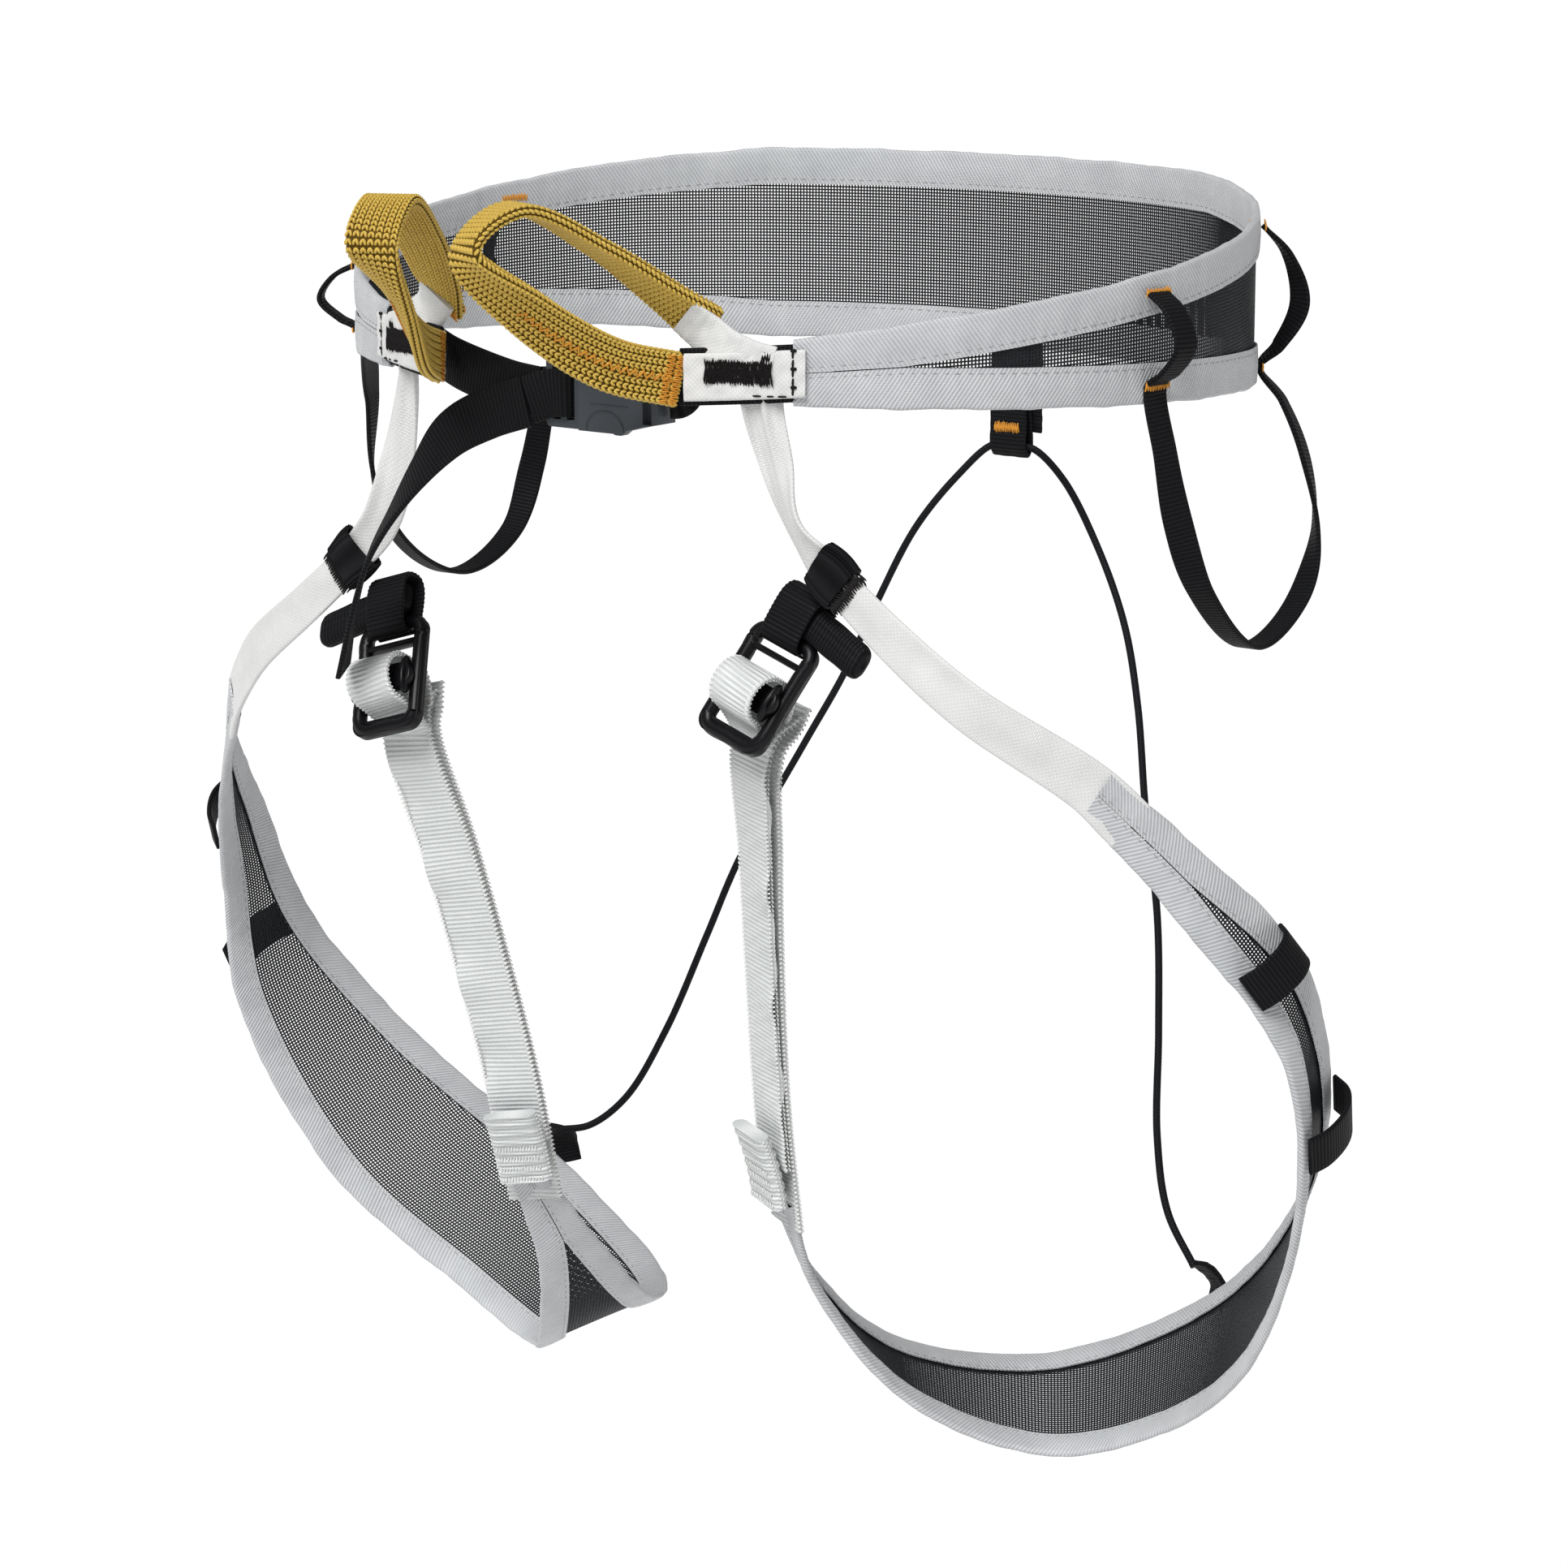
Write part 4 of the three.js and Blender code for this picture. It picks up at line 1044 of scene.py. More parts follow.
GOLD_WIDTH = 14.5
GOLD_THICKNESS = 3.4
WALES = 7
WALE_PITCH = 1.98
YARN_STEP = 1.62
YARN_LEAN = 0.44
YARN_SUNK = 0.35
PLY_APART = 0.42
PLY_TILT = 0.55
EDGE_YARN_SUNK = 0.3
ZIGZAG_END = 0.30  # share of the loop, from its lower end, that carries the stitched zigzag


def gold_yarns(frame_at):
    """Lengthwise wales of paired slanting yarns on both faces, and a row of loops on each edge."""
    origin, across, normal = frame_at(even_shares(frame_at, YARN_STEP))
    along = np.cross(across, normal)
    lift = GOLD_THICKNESS / 2 - YARN_SUNK
    yarns = []
    for face in (1, -1):
        for wale in range(WALES):
            for lean in (-1, 1):
                x = (wale - (WALES - 1) / 2) * WALE_PITCH + PLY_APART * lean
                centres = origin + across * x + normal * face * lift
                tilted = unit(normal * face + across * lean * PLY_TILT)
                direction = along - across * lean * YARN_LEAN
                yarns.append(strands(
                    centres, direction, tilted, length=1.8, width=0.82, height=0.95, sink=0.24,
                    material=1,
                ))
        edge = across * face
        centres = origin + edge * (GOLD_WIDTH / 2 - EDGE_YARN_SUNK)
        yarns.append(strands(
            centres, along + normal * 0.5, edge, length=1.9, width=1.0, height=0.9, sink=0.2,
            material=1,
        ))
    return together(yarns)


def gold_zigzag(frame_at):
    """Orange zigzag stitching on one face of the loop, at its lower end."""
    share = even_shares(frame_at, pitch=1.25, start=0.02, end=ZIGZAG_END)
    origin, across, normal = frame_at(share)
    along = np.cross(across, normal)
    lean = np.where(np.arange(len(share)) % 2 == 0, 1.0, -1.0)[:, None]
    centres = origin - normal * (GOLD_THICKNESS / 2 + 0.2)
    return strands(
        centres, along + across * lean * 1.3, -normal, length=3.0, width=0.5, height=0.5, sink=0.25,
        material=2,
    )


def gold_ends(frame_at):
    """Orange bars of stitching across both ends of the loop, on both faces."""
    bars = []
    for number, share in enumerate((0.012, 0.03, 0.97, 0.988)):
        origin, across, normal = (a[0] for a in frame_at(np.array([share])))
        for face in (1, -1):
            place = origin + normal * face * (GOLD_THICKNESS / 2 + 0.05)
            long, high, seed = GOLD_WIDTH - 0.8, 2.6, 30 + number
            bars.append(bartack(
                place, across, normal * face, long, high, material=2, seed=seed, pitch=0.6, thread=0.5,
            ))
    return together(bars)


def add_tie_in_loops():
    """The braided loops, stiff and sewn to the belt; the right one mirrors the left one."""
    frame_at = strap_frame(TIE_IN_ROUTE, TIE_IN_LIE)
    # The dark core under the yarns paints the shade in the grooves between the wales.
    core = ribbon(frame_at, rows=110, width=GOLD_WIDTH - 0.8, thickness=GOLD_THICKNESS - 1.3, columns=14)
    loop = core + gold_yarns(frame_at) + gold_zigzag(frame_at) + gold_ends(frame_at)
    for side, shape in ((LEFT, loop), (RIGHT, loop.to_right(drop=False))):
        materials = [GOLD_CORE_GROOVE_SHADE, GOLD_YARN, ORANGE]
        on_body(f"tie_in_{side}", shape, materials, "belt", "gold_webbing", f"tie_in_loop_{side}")


TAB_START = 0.818
TAB_END = 0.897
TAB_FACE = 2.1  # outward from the belt's middle
UPPER_ARM_ROUTE = [
    (42.6, -107.2, 0.6), (47, -104.6, -3.6), (53.5, -104.2, -7.6), (60, -102.2, -10.4),
    (66, -99.8, -11.8),
]
UPPER_ARM_LIE = [(0.8, -0.1, 0.45), (0.75, 0, 0.6), (0.4, 0.1, 0.9), (0.1, 0, 1), (0, 0, 1)]


def along_tab(start, end, outward, lower=0.0):
    """A frame that runs round the left end of the belt, from one reach to another."""

    def at(share):
        reach = start + (end - start) * np.asarray(share)
        turn = -reach
        across = np.broadcast_to((0.0, 0.0, 1.0), (len(reach), 3))
        return belt_surface(turn, belt_middle(reach) - lower, outward), across, belt_outward(turn)

    return at


def frayed(depth, seed):
    """Slight unevenness all over a piece of cloth, depth millimetres high."""

    def wave(x, v):
        blotches = np.sin(x * 1.1 + seed) * np.sin(v * 0.7 + seed)
        return depth * (blotches + 0.5 * np.sin(v * 1.9))

    return wave


def on_tab(reach, z, outward=TAB_FACE + 0.75):
    """A point on the left tab's outer face, and the direction out of it."""
    turn = np.array([-reach])
    return belt_surface(turn, z, outward)[0], belt_outward(turn)[0]


SATIN_BAR = (0.861, -13.6)  # reach round the belt, and height
UPPER_KNOT = (0.843, -9.8)
SEWN_LINE_HEIGHTS = np.arange(-8.6, -20.5, -2.4)
LOW_ROW_REACHES = (0.833, 0.841, 0.849)
LOW_ROW_HEIGHT = -19.6


def tab_stitching():
    """The black satin bar, the sewn line across the belt's end and its small knots."""
    parts = []
    place, out = on_tab(*SATIN_BAR, TAB_FACE + 1.1)
    round_belt = np.cross((0, 0, 1), out)
    for layer in (0, 1):
        raised = place + out * 0.15 * layer
        parts.append(bartack(
            raised, round_belt, out, length=18.0, height=6.0, material=2, seed=41 + layer, pitch=0.36,
            thread=0.55,
        ))
    place, out = on_tab(*UPPER_KNOT)
    parts.append(bartack(place, round_belt, out, length=2.6, height=4.0, material=2, seed=43))
    line = np.array([on_tab(TAPE_END_REACH, z)[0] for z in SEWN_LINE_HEIGHTS])
    parts.append(strands(
        line, (0.06, 0, 1), out, length=2.5, width=0.7, height=0.6, sink=0.25, material=2,
    ))
    parts.append(strands(
        line[::2] + (0.2, 0, 1.1), round_belt, out, length=1.7, width=1.1, height=0.9, sink=0.1,
        material=2,
    ))
    row = np.array([on_tab(reach, LOW_ROW_HEIGHT)[0] for reach in LOW_ROW_REACHES])
    parts.append(strands(row, round_belt, out, length=2.6, width=0.6, height=0.6, sink=0.2, material=2))
    return together(parts)


def add_tie_in_tabs():
    def fuzz(x, v):
        return 0.06 * np.sin(x * 5.1) * np.sin(v * 4.3)

    front_at = along_tab(TAB_START, TAB_END, TAB_FACE)
    back_at = along_tab(TAB_START, TAB_END - 0.002, -TAB_FACE + 0.6)
    core_at = along_tab(0.822, TAB_END + 0.004, 0.5)
    upper_at = strap_frame(UPPER_ARM_ROUTE, UPPER_ARM_LIE)
    upper_width = np.linspace(12.5, 10.5, 40)
    front = ribbon(
        front_at, rows=60, width=12.6, thickness=1.4, columns=16, wave=frayed(depth=0.18, seed=1.0),
        ribs=fuzz,
    )
    back = ribbon(back_at, rows=40, width=12.2, thickness=1.4, wave=frayed(depth=0.15, seed=2.0))
    upper = ribbon(
        upper_at, len(upper_width), upper_width, thickness=1.6, wave=frayed(depth=0.2, seed=3.0),
        ribs=fuzz,
    )
    core = ribbon(core_at, rows=30, width=15.2, thickness=1.3, material=1)
    tab = front + back + upper + core + tab_stitching()
    materials = [RISER, BLACK, BLACK_THREAD]
    for side, shape in ((LEFT, tab), (RIGHT, tab.to_right(drop=False))):
        node = f"tie_in_tab_{side}"
        on_body(f"tie_in_tab_cloth_{side}", shape, materials, "belt", "riser_webbing", node)


# ---- Gear loops -----------------------------------------------------------------------------------

GEAR_CURL = (0, 18, 38, 22, 0)  # degrees by which the rear webbing turns as it stands off the belt
GEAR_CLOSE = 1.9  # outward from the belt's middle where the webbing is sewn to it


def gear_bulge(turn):
    """Points down the outside of the belt, where the gear webbing stands proud between its bartacks."""
    reach = abs(turn)
    half = belt_height(reach) / 2 - GEAR_STRAP_INSET
    low = belt_middle(reach) - half
    profile = [
        (1, GEAR_CLOSE), (0.8, 0.7 * GEAR_BULGE), (0.45, GEAR_BULGE),
        (0.15, 0.55 * GEAR_BULGE), (0, GEAR_CLOSE),
    ]
    return [belt_surface(turn, low + share * 2 * half, out) for share, out in profile]


def twisted(lie, turns):
    """The same width direction, turned about the upright a little more at each point."""
    angle = np.radians(turns)[:, None]
    aside = np.cross((0, 0, 1), lie)
    return lie * np.cos(angle) + aside * np.sin(angle)


def gear_bartacks(side):
    """Orange bars through webbing and tape, showing outside the belt and inside it."""
    bars = []
    for turn in GEAR_TURNS[side]:
        half = belt_height(abs(turn)) / 2 - GEAR_STRAP_INSET
        out = belt_outward(np.array([turn]))[0]
        round_belt = np.cross((0, 0, 1), out)
        for end in (1, -1):
            z = belt_middle(abs(turn)) + end * half
            for outward, face, seed in ((2.65, out, 51), (-1.45, -out, 52)):
                place = belt_surface(turn, z, outward)
                seed = seed + int(abs(turn) * 10) + end
                bars.append(bartack(
                    place, round_belt, face, length=GEAR_WIDTH + 1, height=2.4, material=0, seed=seed,
                    pitch=0.5,
                ))
    return together(bars)


def add_gear_loops():
    for side, sign in ((LEFT, -1), (RIGHT, 1)):
        front, rear = (gear_bulge(turn) for turn in GEAR_TURNS[side])
        out_front, out_rear = belt_outward(np.array(GEAR_TURNS[side]))
        lie_front, lie_rear = np.cross((0, 0, 1), out_front), -np.cross((0, 0, 1), out_rear)
        hang_lie = np.array(GEAR_HANG_LIE, float) * (-sign, 1, 1)
        flip = 1 if lie_front @ hang_lie[0] > 0 else -1
        upper_lie = twisted(lie_rear * flip, GEAR_CURL)[::-1]
        lie = np.vstack([[lie_front * flip] * 5, hang_lie, upper_lie])
        route = np.vstack([front, GEAR_HANG[side], rear[::-1]])
        shape = ribbon(strap_frame(route, lie), rows=420, width=GEAR_WIDTH, thickness=WEBBING_THICKNESS)
        between(
            f"gear_webbing_{side}", shape, [BLACK], ("belt", f"gear_{side}"), (0, 0, -27), (0, 0, -46),
            "black_webbing", f"gear_loop_{side}", f"gear_strap_front_{side}", f"gear_strap_rear_{side}",
        )
        on_body(f"gear_bartacks_{side}", gear_bartacks(side), [ORANGE], "belt", "black_webbing")


# ---- Waist strap and buckle -----------------------------------------------------------------------

LADDER_ROUTE = [
    (-9.5, -103.2, -23.6), (-3, -101.4, -23.1), (2.4, -101.4, -23), (3.4, -104, -23),
    (2.2, -106.9, -23), (-3, -107.3, -23.4), (-9.5, -108.6, -25.6),
]


def add_waist_straps():
    def plain(route, rows, width):
        return ribbon(strap_frame(route, [UPRIGHT] * len(route)), rows, width, WEBBING_THICKNESS)

    left = plain(WAIST_STRAP_LEFT, 40, WAIST_STRAP_WIDTH - 2)
    on_body("waist_webbing_left", left, [BLACK], "belt", "black_webbing", "waist_strap_left")
    right = plain(WAIST_STRAP_RIGHT, 80, WAIST_STRAP_WIDTH)
    between(
        "waist_webbing_right", right, [BLACK], ("belt", "buckle_male"),
        WAIST_STRAP_RIGHT[-1], WAIST_STRAP_RIGHT[0], "black_webbing", "waist_strap_right",
    )
    tail = ribbon(
        strap_frame(TAIL_ROUTE, TAIL_LIE), rows=220, width=WAIST_STRAP_WIDTH,
        thickness=WEBBING_THICKNESS,
    )
    between(
        "waist_webbing_tail", tail, [BLACK], ("belt", "buckle_male"),
        (-60, -115, -26), (-12, -109, -26), "black_webbing", "waist_strap_tail",
    )
    ladder = plain(LADDER_ROUTE, 60, WAIST_STRAP_WIDTH - 1)
    on_body("ladder_webbing", ladder, [BLACK], "buckle_male", "black_webbing")


BUCKLE_FACE = 3.75  # outward from the buckle's centre
BUTTON_MIDDLE = BUCKLE_SPLIT + 9
MERGE_DISTANCE = 0.01 * MM
FLAT_ANGLE = np.radians(3)
ROUNDED_FROM = np.radians(28)  # edges that turn more than this are rounded
MOULD_SHARP_EDGE = np.radians(35)


def moulded(name, node, body, finish, slot, rounding):
    """A plastic part with the frame's shape, its edges rounded as a mould leaves them."""
    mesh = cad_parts[node].data.copy()
    shape = bmesh.new()
    shape.from_mesh(mesh)
    bmesh.ops.remove_doubles(shape, verts=shape.verts, dist=MERGE_DISTANCE)
    bmesh.ops.dissolve_limit(shape, angle_limit=FLAT_ANGLE, verts=shape.verts, edges=shape.edges)
    shape.to_mesh(mesh)
    shape.free()
    obj = bpy.data.objects.new(name, mesh)
    bpy.context.scene.collection.objects.link(obj)
    bevel = obj.modifiers.new("rounding", "BEVEL")
    bevel.width = rounding * MM
    bevel.segments = 3
    bevel.limit_method = "ANGLE"
    bevel.angle_limit = ROUNDED_FROM
    evaluated = obj.evaluated_get(bpy.context.evaluated_depsgraph_get())
    rounded = bpy.data.meshes.new_from_object(evaluated)
    obj.modifiers.clear()
    obj.data = rounded
    rounded.materials.clear()
    rounded.materials.append(finish)
    rounded.polygons.foreach_set("use_smooth", np.ones(len(rounded.polygons), bool))
    rounded.set_sharp_from_angle(angle=MOULD_SHARP_EDGE)
    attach(obj, body)
    return finish_piece(obj, [node], slot)


def bead(points, radius, material=0):
    """A thin round ridge along a line of points."""
    curve = Curve(points)
    share = curve.even(np.linspace(0, 1, max(12, int(curve.length / 0.7))))
    line, along = curve.at(share), curve.tangent(share)
    helper = unit(np.array([0.31, 0.52, 0.79]))
    side = unit(np.cross(along, helper))
    up = np.cross(side, along)
    angle = np.arange(8) * np.pi / 4
    ring = side[:, None] * np.cos(angle)[:, None] + up[:, None] * np.sin(angle)[:, None]
    rings = line[:, None] + ring * radius
    return loft(rings, material=material)


def buckle_point(x, up, out):
    """A point of the waist buckle: x along the strap, up, and out of its front face."""
    return BUCKLE_CENTRE + (x, -out, up)


def buckle_ridges():
    """The raised rims of the release buttons and the panel between them, on the socket's face."""
    parts = []
    for side in (1, -1):
        rim = [
            (BUTTON_MIDDLE + 6.4 * np.cos(a), side * (9.0 - 5.2 * np.sin(a)))
            for a in np.linspace(0, np.pi, 9)
        ]
        line = [(BUCKLE_SPLIT + x, side * 2.1) for x in (4.0, 10.0, 17.0)]
        for points, radius in ((rim, 0.32), (line, 0.25)):
            parts.append(bead([buckle_point(x, up, BUCKLE_FACE) for x, up in points], radius))
    return together(parts)


def add_buckle():
    moulded("buckle_socket", "buckle_female", "belt", GREY_PLASTIC, "grey_plastic", rounding=0.7)
    moulded("buckle_plug", "buckle_male", "buckle_male", GREY_PLASTIC, "grey_plastic", rounding=0.5)
    for which in ("upper", "lower"):
        node = f"buckle_arm_{which}"
        moulded(f"buckle_button_{which}", node, node, GREY_PLASTIC, "grey_plastic", rounding=0.4)
    on_body("buckle_ridges", buckle_ridges(), [GREY_PLASTIC], "belt", "grey_plastic")


# ---- Rear tab -------------------------------------------------------------------------------------

REAR_FRONT_ROUTE = [
    (-0.5, 106.3, -31), (-0.5, 106.1, -45), (-0.5, 106.0, -56), (-0.5, 105.9, -61.5),
    (-0.5, 107.8, -64.1), (-0.5, 109.6, -61.5), (-0.5, 109.3, -54), (-0.5, 108.2, -49),
]
REAR_BACK_ROUTE = [(1.2, 110.4, -27), (1.2, 110.8, -38), (1.2, 110.6, -50), (1.0, 110.9, -57)]


def add_rear_tab():
    sideways = (1, 0, 0)
    front = ribbon(
        strap_frame(REAR_FRONT_ROUTE, [sideways] * 8), rows=90, width=13.0, thickness=1.2,
        wave=frayed(depth=0.1, seed=4.0),
    )
    back = ribbon(
        strap_frame(REAR_BACK_ROUTE, [sideways] * 4), rows=50, width=15.0, thickness=1.2,
        wave=frayed(depth=0.2, seed=5.0),
    )
    bars = [
        bartack((-0.5, 105.1, -55.5), sideways, (0, -1, 0), length=9.0, height=3.0, material=1, seed=61),
        bartack((0.5, 111.6, -54.0), sideways, (0, 1, 0), length=9.0, height=3.0, material=1, seed=62),
        bartack((0, 110.5, -26.5), sideways, (0, -1, 0), length=9.0, height=3.0, material=1, seed=63),
    ]
    tab = together([front, back, *bars])
    on_body("rear_tab_webbing", tab, [BLACK, ORANGE], "belt", "black_webbing", "rear_tab")


# ---- Risers and their keepers ---------------------------------------------------------------------

RISER_TOP = [(64.2, -97.8, -13.5), (61.5, -98.6, -19)]
RISER_TOP_LIE = [(0.9, 0.4, 0), (0.92, 0.38, 0)]
RISER_ROWS = 240
RISER_NARROWEST = 10.6
RISER_BEND_START = (60, -98.5, -22)  # where it leaves the belt and where it is all leg loop
RISER_BEND_END = (74, -98, -56)
KEEPER_START, KEEPER_END = 0.435, 0.525


def riser_frame():
    """The riser from behind the tie-in tab down to the hip, where it is sewn onto the leg panel."""
    low, high, across, normal = leg_panel(np.array([0.03]))
    foot = (low + high) / 2 + normal * 0.2
    route = [*RISER_TOP, *RISER_ROUTE[1:], *foot]
    return strap_frame(route, [*RISER_TOP_LIE, *RISER_LIE[1:], *across])


def riser_width(share):
    """Gathered wide under the tab, narrow at the keeper, and as wide as the leg panel's end."""
    gathered = 13.5 * np.exp(-((share / 0.085) ** 2))
    sewn_wide = 4.0 * np.clip((share - 0.5) / 0.45, 0, 1)
    return RISER_NARROWEST + gathered + sewn_wide


def riser_shape():
    """The riser's cloth, gathered at its top, with the stitching that joins it to the leg panel."""
    share = np.linspace(0, 1, RISER_ROWS)

    def gathers(x, v):
        fade = np.exp(-((v / 26.0) ** 2))
        crease = 0.35 * np.sin(x * 0.5 + 0.6) * np.sin(v * 0.11)
        swell = np.clip(v / 9.0, 0, 1)
        return swell * fade * (1.1 * np.sin(x * 0.95 + v * 0.05) + 0.4 * np.sin(x * 2.1)) + crease

    cloth = ribbon(riser_frame(), RISER_ROWS, riser_width(share), thickness=1.3, columns=22, wave=gathers)
    origin, across, normal = riser_frame()(np.linspace(0.9, 0.99, 30))
    seams = []
    for x in (-5.5, 5.5):
        for face in (1, -1):
            line = origin + across * x + normal * face * 0.7
            seams.append(running_stitch(line, normal * face, material=1, seed=71, pitch=2.6))
    return together([cloth, *seams])


CUFF_SIDES = 48


def cuff(frame_at, rows, width, thickness, wall, swell):
    """A sewn band wrapped right round a strap, fuller in the middle of its length."""
    share = np.linspace(0, 1, rows)
    origin, across, normal = frame_at(share)
    turn = np.linspace(0, 2 * np.pi, CUFF_SIDES + 1)[:-1]
    x = np.sign(np.cos(turn)) * np.abs(np.cos(turn)) ** 0.35
    y = np.sign(np.sin(turn)) * np.abs(np.sin(turn)) ** 0.6
    grow = 1 + swell * np.sin(np.pi * share)[:, None]
    wales = 0.16 * np.cos(turn * CUFF_SIDES / 2)

    def skin(w, t):
        return origin[:, None] + across[:, None] * (x * w)[..., None] + normal[:, None] * (y * t)[..., None]

    outer = skin((width / 2 + wales) * grow, (thickness / 2 + wales) * grow)
    inner = skin((width / 2 - wall) * np.ones_like(grow), (thickness / 2 - wall) * np.ones_like(grow))
    v = np.broadcast_to(lengths_along(origin)[:, None], (rows, CUFF_SIDES))
    weave = np.stack([v, np.broadcast_to(turn * width / 4, v.shape)], axis=-1)
    return slab(outer, inner, weave, ring=True)


def keeper_shape():
    """The band round the riser, with a bar of black thread below it on both faces."""
    riser = strap_frame(RISER_ROUTE, RISER_LIE)
    band = cuff(
        shifted(riser, np.zeros_like, KEEPER_START, KEEPER_END), rows=26, width=14.2, thickness=4.6,
        wall=1.0, swell=0.06,
    )
    origin, across, normal = (a[0] for a in riser(np.array([KEEPER_END + 0.012])))
    threads_below = []
    for face in (1, -1):
        place = origin + normal * face * 1.2
        threads_below.append(bartack(
            place, across, normal * face, length=12.5, height=4.2, material=1, seed=74, pitch=0.4,
            thread=0.55,
        ))
    return together([band, *threads_below])


def add_risers():
    riser = riser_shape()
    for side, shape, sign in ((LEFT, riser, 1), (RIGHT, riser.to_right(), -1)):
        bend = [np.array(point) * (sign, 1, 1) for point in (RISER_BEND_START, RISER_BEND_END)]
        between(
            f"riser_cloth_{side}", shape, [RISER, WHITE_THREAD], ("belt", f"leg_{side}"),
            *bend, "riser_webbing", f"riser_{side}",
        )
    on_both_legs("keeper", keeper_shape(), [BLACK, BLACK_THREAD], "black_webbing", "riser_keeper")


# ---- Adjuster straps ------------------------------------------------------------------------------

TAIL_SPREAD = (2.0, 5.5)  # how far the second layer stands off, and how much more it comes to
EDGE_LOOP_STEP = 1.35
SEWN_END = (45.6, -66.2, -256)  # the strap runs on inside the folded tapes
TAIL_PART = (0.06, 0.94)  # shares of the first layer beside which the second layer runs
END_PART = (0.0, 0.13)  # and over which its end is folded
STRAP_BEHIND_BUCKLE = [(0.6, -6.5, -14.4), (0.3, 0.5, -13.4)]  # across the leg buckle, up it, out of it


def edge_loops(frame_at, width):
    """The little loops of yarn that stand along a woven strap's edges."""
    origin, across, normal = frame_at(even_shares(frame_at, EDGE_LOOP_STEP))
    along = np.cross(across, normal)
    rows = []
    for side in (1, -1):
        for face in (1, -1):
            centres = origin + across * side * (width / 2 - 0.55) + normal * face * 0.62
            direction = across * side + along * 0.45 * face
            rows.append(strands(
                centres, direction, normal * face, length=1.5, width=0.62, height=0.55, sink=0.2,
                material=1,
            ))
    return together(rows)


def cross_ribs(height, pitch, lean=0.0):
    """Fine ridges across a webbing, standing out of both its faces."""

    def ribs(x, v):
        return height * np.cos(v * 2 * np.pi / pitch + x * lean)

    return ribs


ADJUSTER_THICKNESS = WEBBING_THICKNESS - 0.3
ADJUSTER_RIBS = cross_ribs(height=0.09, pitch=1.35, lean=0.4)


def adjuster_back(line):
    """The second layer, which stands off the first and lies slack along one edge."""

    def spread(share):
        return TAIL_SPREAD[0] + TAIL_SPREAD[1] * share**2 * (1 - share**8)

    def slack(x, v):
        lean = np.clip(-x / STRAP_WIDTH + 0.5, 0, 1)
        return (0.9 * np.sin(v * 0.16) + 0.5 * np.sin(v * 0.37 + 1.0)) * lean**2

    tail_line = shifted(line, spread, *TAIL_PART)
    tail = ribbon(
        tail_line, rows=260, width=STRAP_WIDTH - 0.8, thickness=ADJUSTER_THICKNESS, wave=slack,
        ribs=ADJUSTER_RIBS,
    )
    return tail + edge_loops(tail_line, STRAP_WIDTH - 0.2)


def folded_end(line):
    """The strap's thick folded end with four rows of stitching, over the joint of the leg tapes."""

    def lean(share):
        return 4.9 + 3.6 * share**2

    def folds(x, v):
        return 0.22 * np.cos(v * 2 * np.pi / 3.4) + 0.12 * np.cos(v * 2 * np.pi / 1.2)

    end_line = shifted(line, lean, *END_PART)
    folded = ribbon(end_line, rows=90, width=STRAP_WIDTH - 0.4, thickness=4.4, columns=12, ribs=folds)
    origin, across, normal = end_line(np.linspace(0.05, 0.5, 4))
    seams = []
    for k in range(4):
        place = origin[k] + normal[k] * 2.5
        long, seed = STRAP_WIDTH - 3, 80 + k
        seams.append(bartack(
            place, across[k], normal[k], long, height=1.5, material=1, seed=seed, pitch=0.9,
            thread=0.4,
        ))
    return together([folded, edge_loops(end_line, STRAP_WIDTH - 0.2), *seams])


def add_adjusters():
    route = [*STRAP_ROUTE, *leg_buckle_point(STRAP_BEHIND_BUCKLE)]
    lie = [*STRAP_LIE, *[-leg_buckle_axes()[0]] * 2]
    line = strap_frame(route, lie)
    sewn = strap_frame([SEWN_END, *route], [STRAP_LIE[0], *lie])
    front = ribbon(
        sewn, rows=440, width=STRAP_WIDTH - 0.6, thickness=ADJUSTER_THICKNESS, ribs=ADJUSTER_RIBS,
    )
    front = front + edge_loops(sewn, STRAP_WIDTH)
    for name, shape, node in (
        ("adjuster_front", front, "adjuster_strap"),
        ("adjuster_back", adjuster_back(line), "adjuster_tail"),
        ("adjuster_end", folded_end(line), "strap_end"),
    ):
        on_both_legs(name, shape, [STRAP, WHITE_THREAD], "adjuster_webbing", node)


# ---- Elastic bands and the cord's tab on the leg loops ----------------------------------------------

LEG_BANDS = (("upper", 0.165), ("lower", 0.29))
BAND_WIDTH = 12.0
BAND_BULGE = 8.6
BAND_PROFILE = [
    (-0.97, 2.2), (-0.6, 0.7 * BAND_BULGE), (0.1, BAND_BULGE), (0.65, 0.8 * BAND_BULGE), (0.97, 2.2),
]
CORD_TAB_ROUTE = [(118.2, 33.0, -278.6), (120.2, 36.2, -282), (121.6, 38.2, -286), (120.4, 38.4, -292)]


def add_leg_bands():
    for name, at in LEG_BANDS:
        low, high, across, normal = (a[0] for a in leg_panel(np.array([at])))
        half = np.linalg.norm(high - low) / 2 - 1
        middle = (low + high) / 2
        route = [middle + across * place * half + normal * out for place, out in BAND_PROFILE]
        along = np.cross(across, normal)
        band = ribbon(strap_frame(route, [along] * 5), rows=70, width=BAND_WIDTH, thickness=1.3)
        on_both_legs(f"band_{name}", band, [BLACK], "black_webbing", f"leg_band_{name}")
    tab = ribbon(
        strap_frame(CORD_TAB_ROUTE, [(0.8, -0.5, 0.3)] * 4), rows=30, width=9.0, thickness=1.5,
        wave=frayed(depth=0.12, seed=6.0),
    )
    on_both_legs("cord_end_tab", tab, [BLACK], "black_webbing", "cord_tab")


# ---- Leg buckle and toggle ------------------------------------------------------------------------

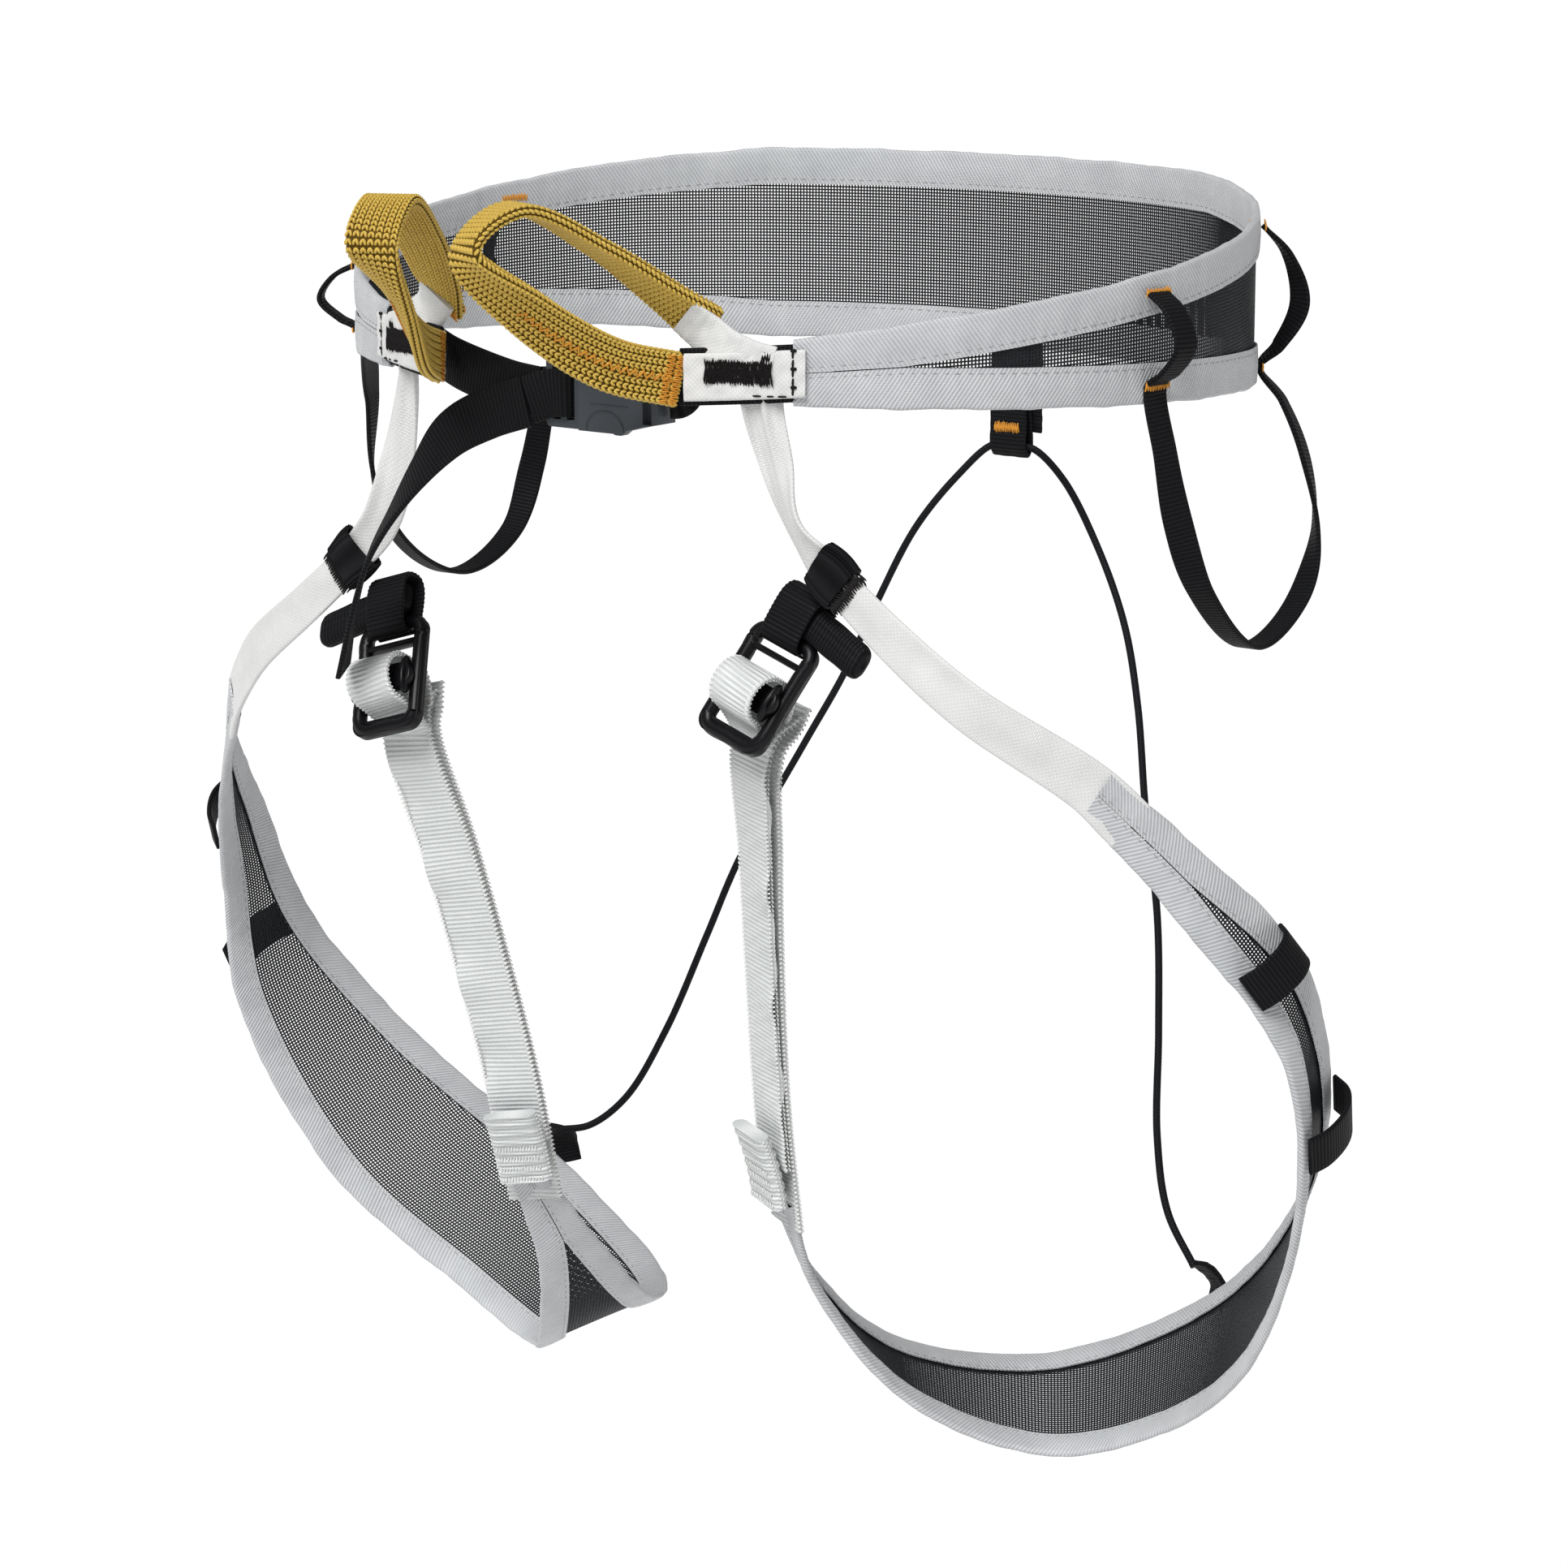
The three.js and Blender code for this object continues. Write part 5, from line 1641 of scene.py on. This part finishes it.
WRAP_MIDDLE = np.array((-4.0, 4.0))
WRAP_RADIUS = 6.45
WRAP_WIDTH = 14.6


def leg_buckle_axes():
    up = -unit(LEG_BUCKLE_DOWN)
    out = unit(np.cross(LEG_BUCKLE_ACROSS, up))
    return np.cross(up, out), up, out


def leg_buckle_point(points):
    """Places given across the leg buckle, up it and out of its face."""
    return LEG_BUCKLE_CENTRE + np.asarray(points, float) @ np.array(leg_buckle_axes())


def buckle_line(route):
    """Webbing that runs up or round the buckle; route gives (up, out) and its width lies across."""
    points = leg_buckle_point([(0, up, out) for up, out in route])
    return strap_frame(points, [leg_buckle_axes()[0]] * len(points))


def wrap_route():
    """The strap up behind the buckle, round its sliding bar and back down to the second layer."""
    angle = np.radians(np.linspace(186, -6, 9))
    arc = [tuple(WRAP_MIDDLE + WRAP_RADIUS * np.array((np.cos(a), np.sin(a)))) for a in angle]
    rising = [(-15.0, -10.6), (-13.0, -6.6), (-11.4, -1.5)]
    falling = [(2.2, -2.0), (0.8, -6.0), (-3.0, -8.6), (-8.0, -9.8)]
    return rising + arc + falling


CHEEK_PROFILE = [(0.0, 0.2), (0.12, 0.93), (0.4, 1.0), (1.0, 1.0), (1.3, 0.93), (1.42, 0.2)]
CHEEK_START = 8.0
CHEEK_RADIUS = 5.6
CHEEK_FLATNESS = 0.45
CHEEK_MIDDLE = (-4.0, 4.4)  # up and out
CHEEK_SIDES = 32


def flange(side):
    """A round cheek at one end of the sliding bar."""
    angle = np.arange(CHEEK_SIDES) * 2 * np.pi / CHEEK_SIDES
    rings = []
    for thick, size in CHEEK_PROFILE:
        x = side * (CHEEK_START + thick)
        up = CHEEK_MIDDLE[0] + CHEEK_RADIUS * size * np.cos(angle)
        out = CHEEK_MIDDLE[1] + CHEEK_FLATNESS * CHEEK_RADIUS * size * np.sin(angle)
        rings.append(leg_buckle_point(np.stack([np.full(CHEEK_SIDES, x), up, out], axis=1)))
    return loft(np.array(rings))


ROLL_SIDES = 48


def toggle_bolster():
    """A rolled length of webbing with soft rounded ends and the lap of its last turn showing."""
    place = np.linspace(-1, 1, 61)
    half = TOGGLE_LENGTH / 2
    taper = np.clip(1 - np.abs(place) ** 14, 0.02, 1) ** 0.5
    angle = np.linspace(0, 2 * np.pi, ROLL_SIDES + 1)[:-1]
    up = np.sign(np.cos(angle)) * np.abs(np.cos(angle)) ** 0.6 * TOGGLE_WIDTH / 2
    out = np.sign(np.sin(angle)) * np.abs(np.sin(angle)) ** 0.75 * TOGGLE_THICKNESS / 2
    lap = 1 - 0.09 * np.exp(-(((angle - 0.9) / 0.1) ** 2)) - 0.06 * np.exp(-(((angle - 3.9) / 0.12) ** 2))
    uneven = 1 + 0.02 * np.sin(place * 9.0)[:, None] * np.cos(2 * angle)[None]
    scale = taper[:, None] * lap[None] * uneven
    x = np.broadcast_to((TOGGLE_SHIFT + place * half)[:, None], scale.shape)
    up = TOGGLE_MIDDLE + up * scale - x * np.tan(TOGGLE_LEAN)
    rings = np.stack([x, up, STEM_OUT + out * scale], axis=-1)
    weave = np.stack([angle[None] * 3.2 + 0 * x, x], axis=-1)
    return loft(leg_buckle_point(rings.reshape(-1, 3)).reshape(rings.shape), weave)


LIP_OUT = 1.45  # how far the buckle's raised lines stand in front of its middle
LIP_STEP = -16.6


def slot_lip():
    """Rims round the buckle's upper slot and its outline, and a step along its lower edge."""
    corners = [
        (-8.4, 7.8), (8.4, 7.8), (9.0, 8.5), (9.0, 11.8), (8.4, 12.6),
        (-8.4, 12.6), (-9.0, 11.8), (-9.0, 8.5), (-8.4, 7.8),
    ]
    parts = [bead(leg_buckle_point([(x, y, LIP_OUT) for x, y in corners]), radius=0.55)]
    rim = [(-9.7, -14), (-9.7, -4), (-9.7, 6), (-9.7, 11), (-8, 13), (0, 13), (8, 13), (9.7, 11), (9.7, 6)]
    rim += [(9.7, -4), (9.7, -14), (7.6, -16.4), (0, -16.6), (-7.6, -16.4), (-9.7, -14)]
    parts.append(bead(leg_buckle_point([(x, y, 0.3) for x, y in rim]), radius=2.15))
    step = [(x, LIP_STEP + 0.012 * x * x, LIP_OUT) for x in (-8, -3, 3, 8)]
    parts.append(bead(leg_buckle_point(step), radius=0.4))
    return together(parts)


def toggle_stem():
    """The loop of webbing that goes through the buckle's slot and round the toggle."""
    deep = STEM_DEPTH / 2 - 0.75
    half_loop = [
        (STEM_LOW + 0.9, 1.6), (STEM_LOW + 2.4, deep - 0.8), (STEM_LOW + 6, deep),
        (STEM_HIGH - 3.4, deep), (STEM_HIGH - 1.0, 2.2),
    ]
    route = [(up, STEM_OUT - out) for up, out in half_loop]
    route += [(up, STEM_OUT + out) for up, out in half_loop[::-1]]
    route.append((STEM_LOW + 0.8, STEM_OUT))
    return ribbon(
        buckle_line(route), rows=240, width=13.2, thickness=1.3,
        ribs=cross_ribs(height=0.13, pitch=1.3),
    )


def add_leg_buckles():
    for side in (LEFT, RIGHT):
        node = f"leg_buckle_frame_{side}"
        moulded(f"leg_buckle_{side}", node, f"leg_{side}", BLACK_PLASTIC, "black_plastic", rounding=0.9)
        node = f"leg_buckle_plate_{side}"
        moulded(
            f"sliding_bar_{side}", node, f"plate_{side}", BLACK_PLASTIC, "black_plastic", rounding=0.6,
        )
    on_both_legs("slot_lip", slot_lip(), [BLACK_PLASTIC], "black_plastic")
    cheeks = flange(1) + flange(-1)
    on_both_legs("bar_cheeks", cheeks, [BLACK_PLASTIC], "black_plastic", body="plate")

    line = buckle_line(wrap_route())
    wrap = ribbon(
        line, rows=200, width=WRAP_WIDTH, thickness=1.3, ribs=cross_ribs(height=0.08, pitch=1.35),
    )
    wrap = wrap + edge_loops(line, WRAP_WIDTH)
    on_both_legs(
        "adjuster_turn", wrap, [STRAP, WHITE_THREAD], "adjuster_webbing", "adjuster_wrap",
        body="plate",
    )
    on_both_legs("toggle", toggle_bolster(), [BLACK], "black_webbing", "toggle_bar")
    on_both_legs("toggle_stem", toggle_stem(), [BLACK], "black_webbing", "toggle_strap")


# ---- Assembly -------------------------------------------------------------------------------------

add_camera()
add_cords()
add_floor()
light_scene()
add_belt()
add_tie_in_tabs()
add_tie_in_loops()
add_gear_loops()
add_waist_straps()
add_buckle()
add_rear_tab()
add_leg_cloth()
add_risers()
add_adjusters()
add_leg_bands()
add_leg_buckles()
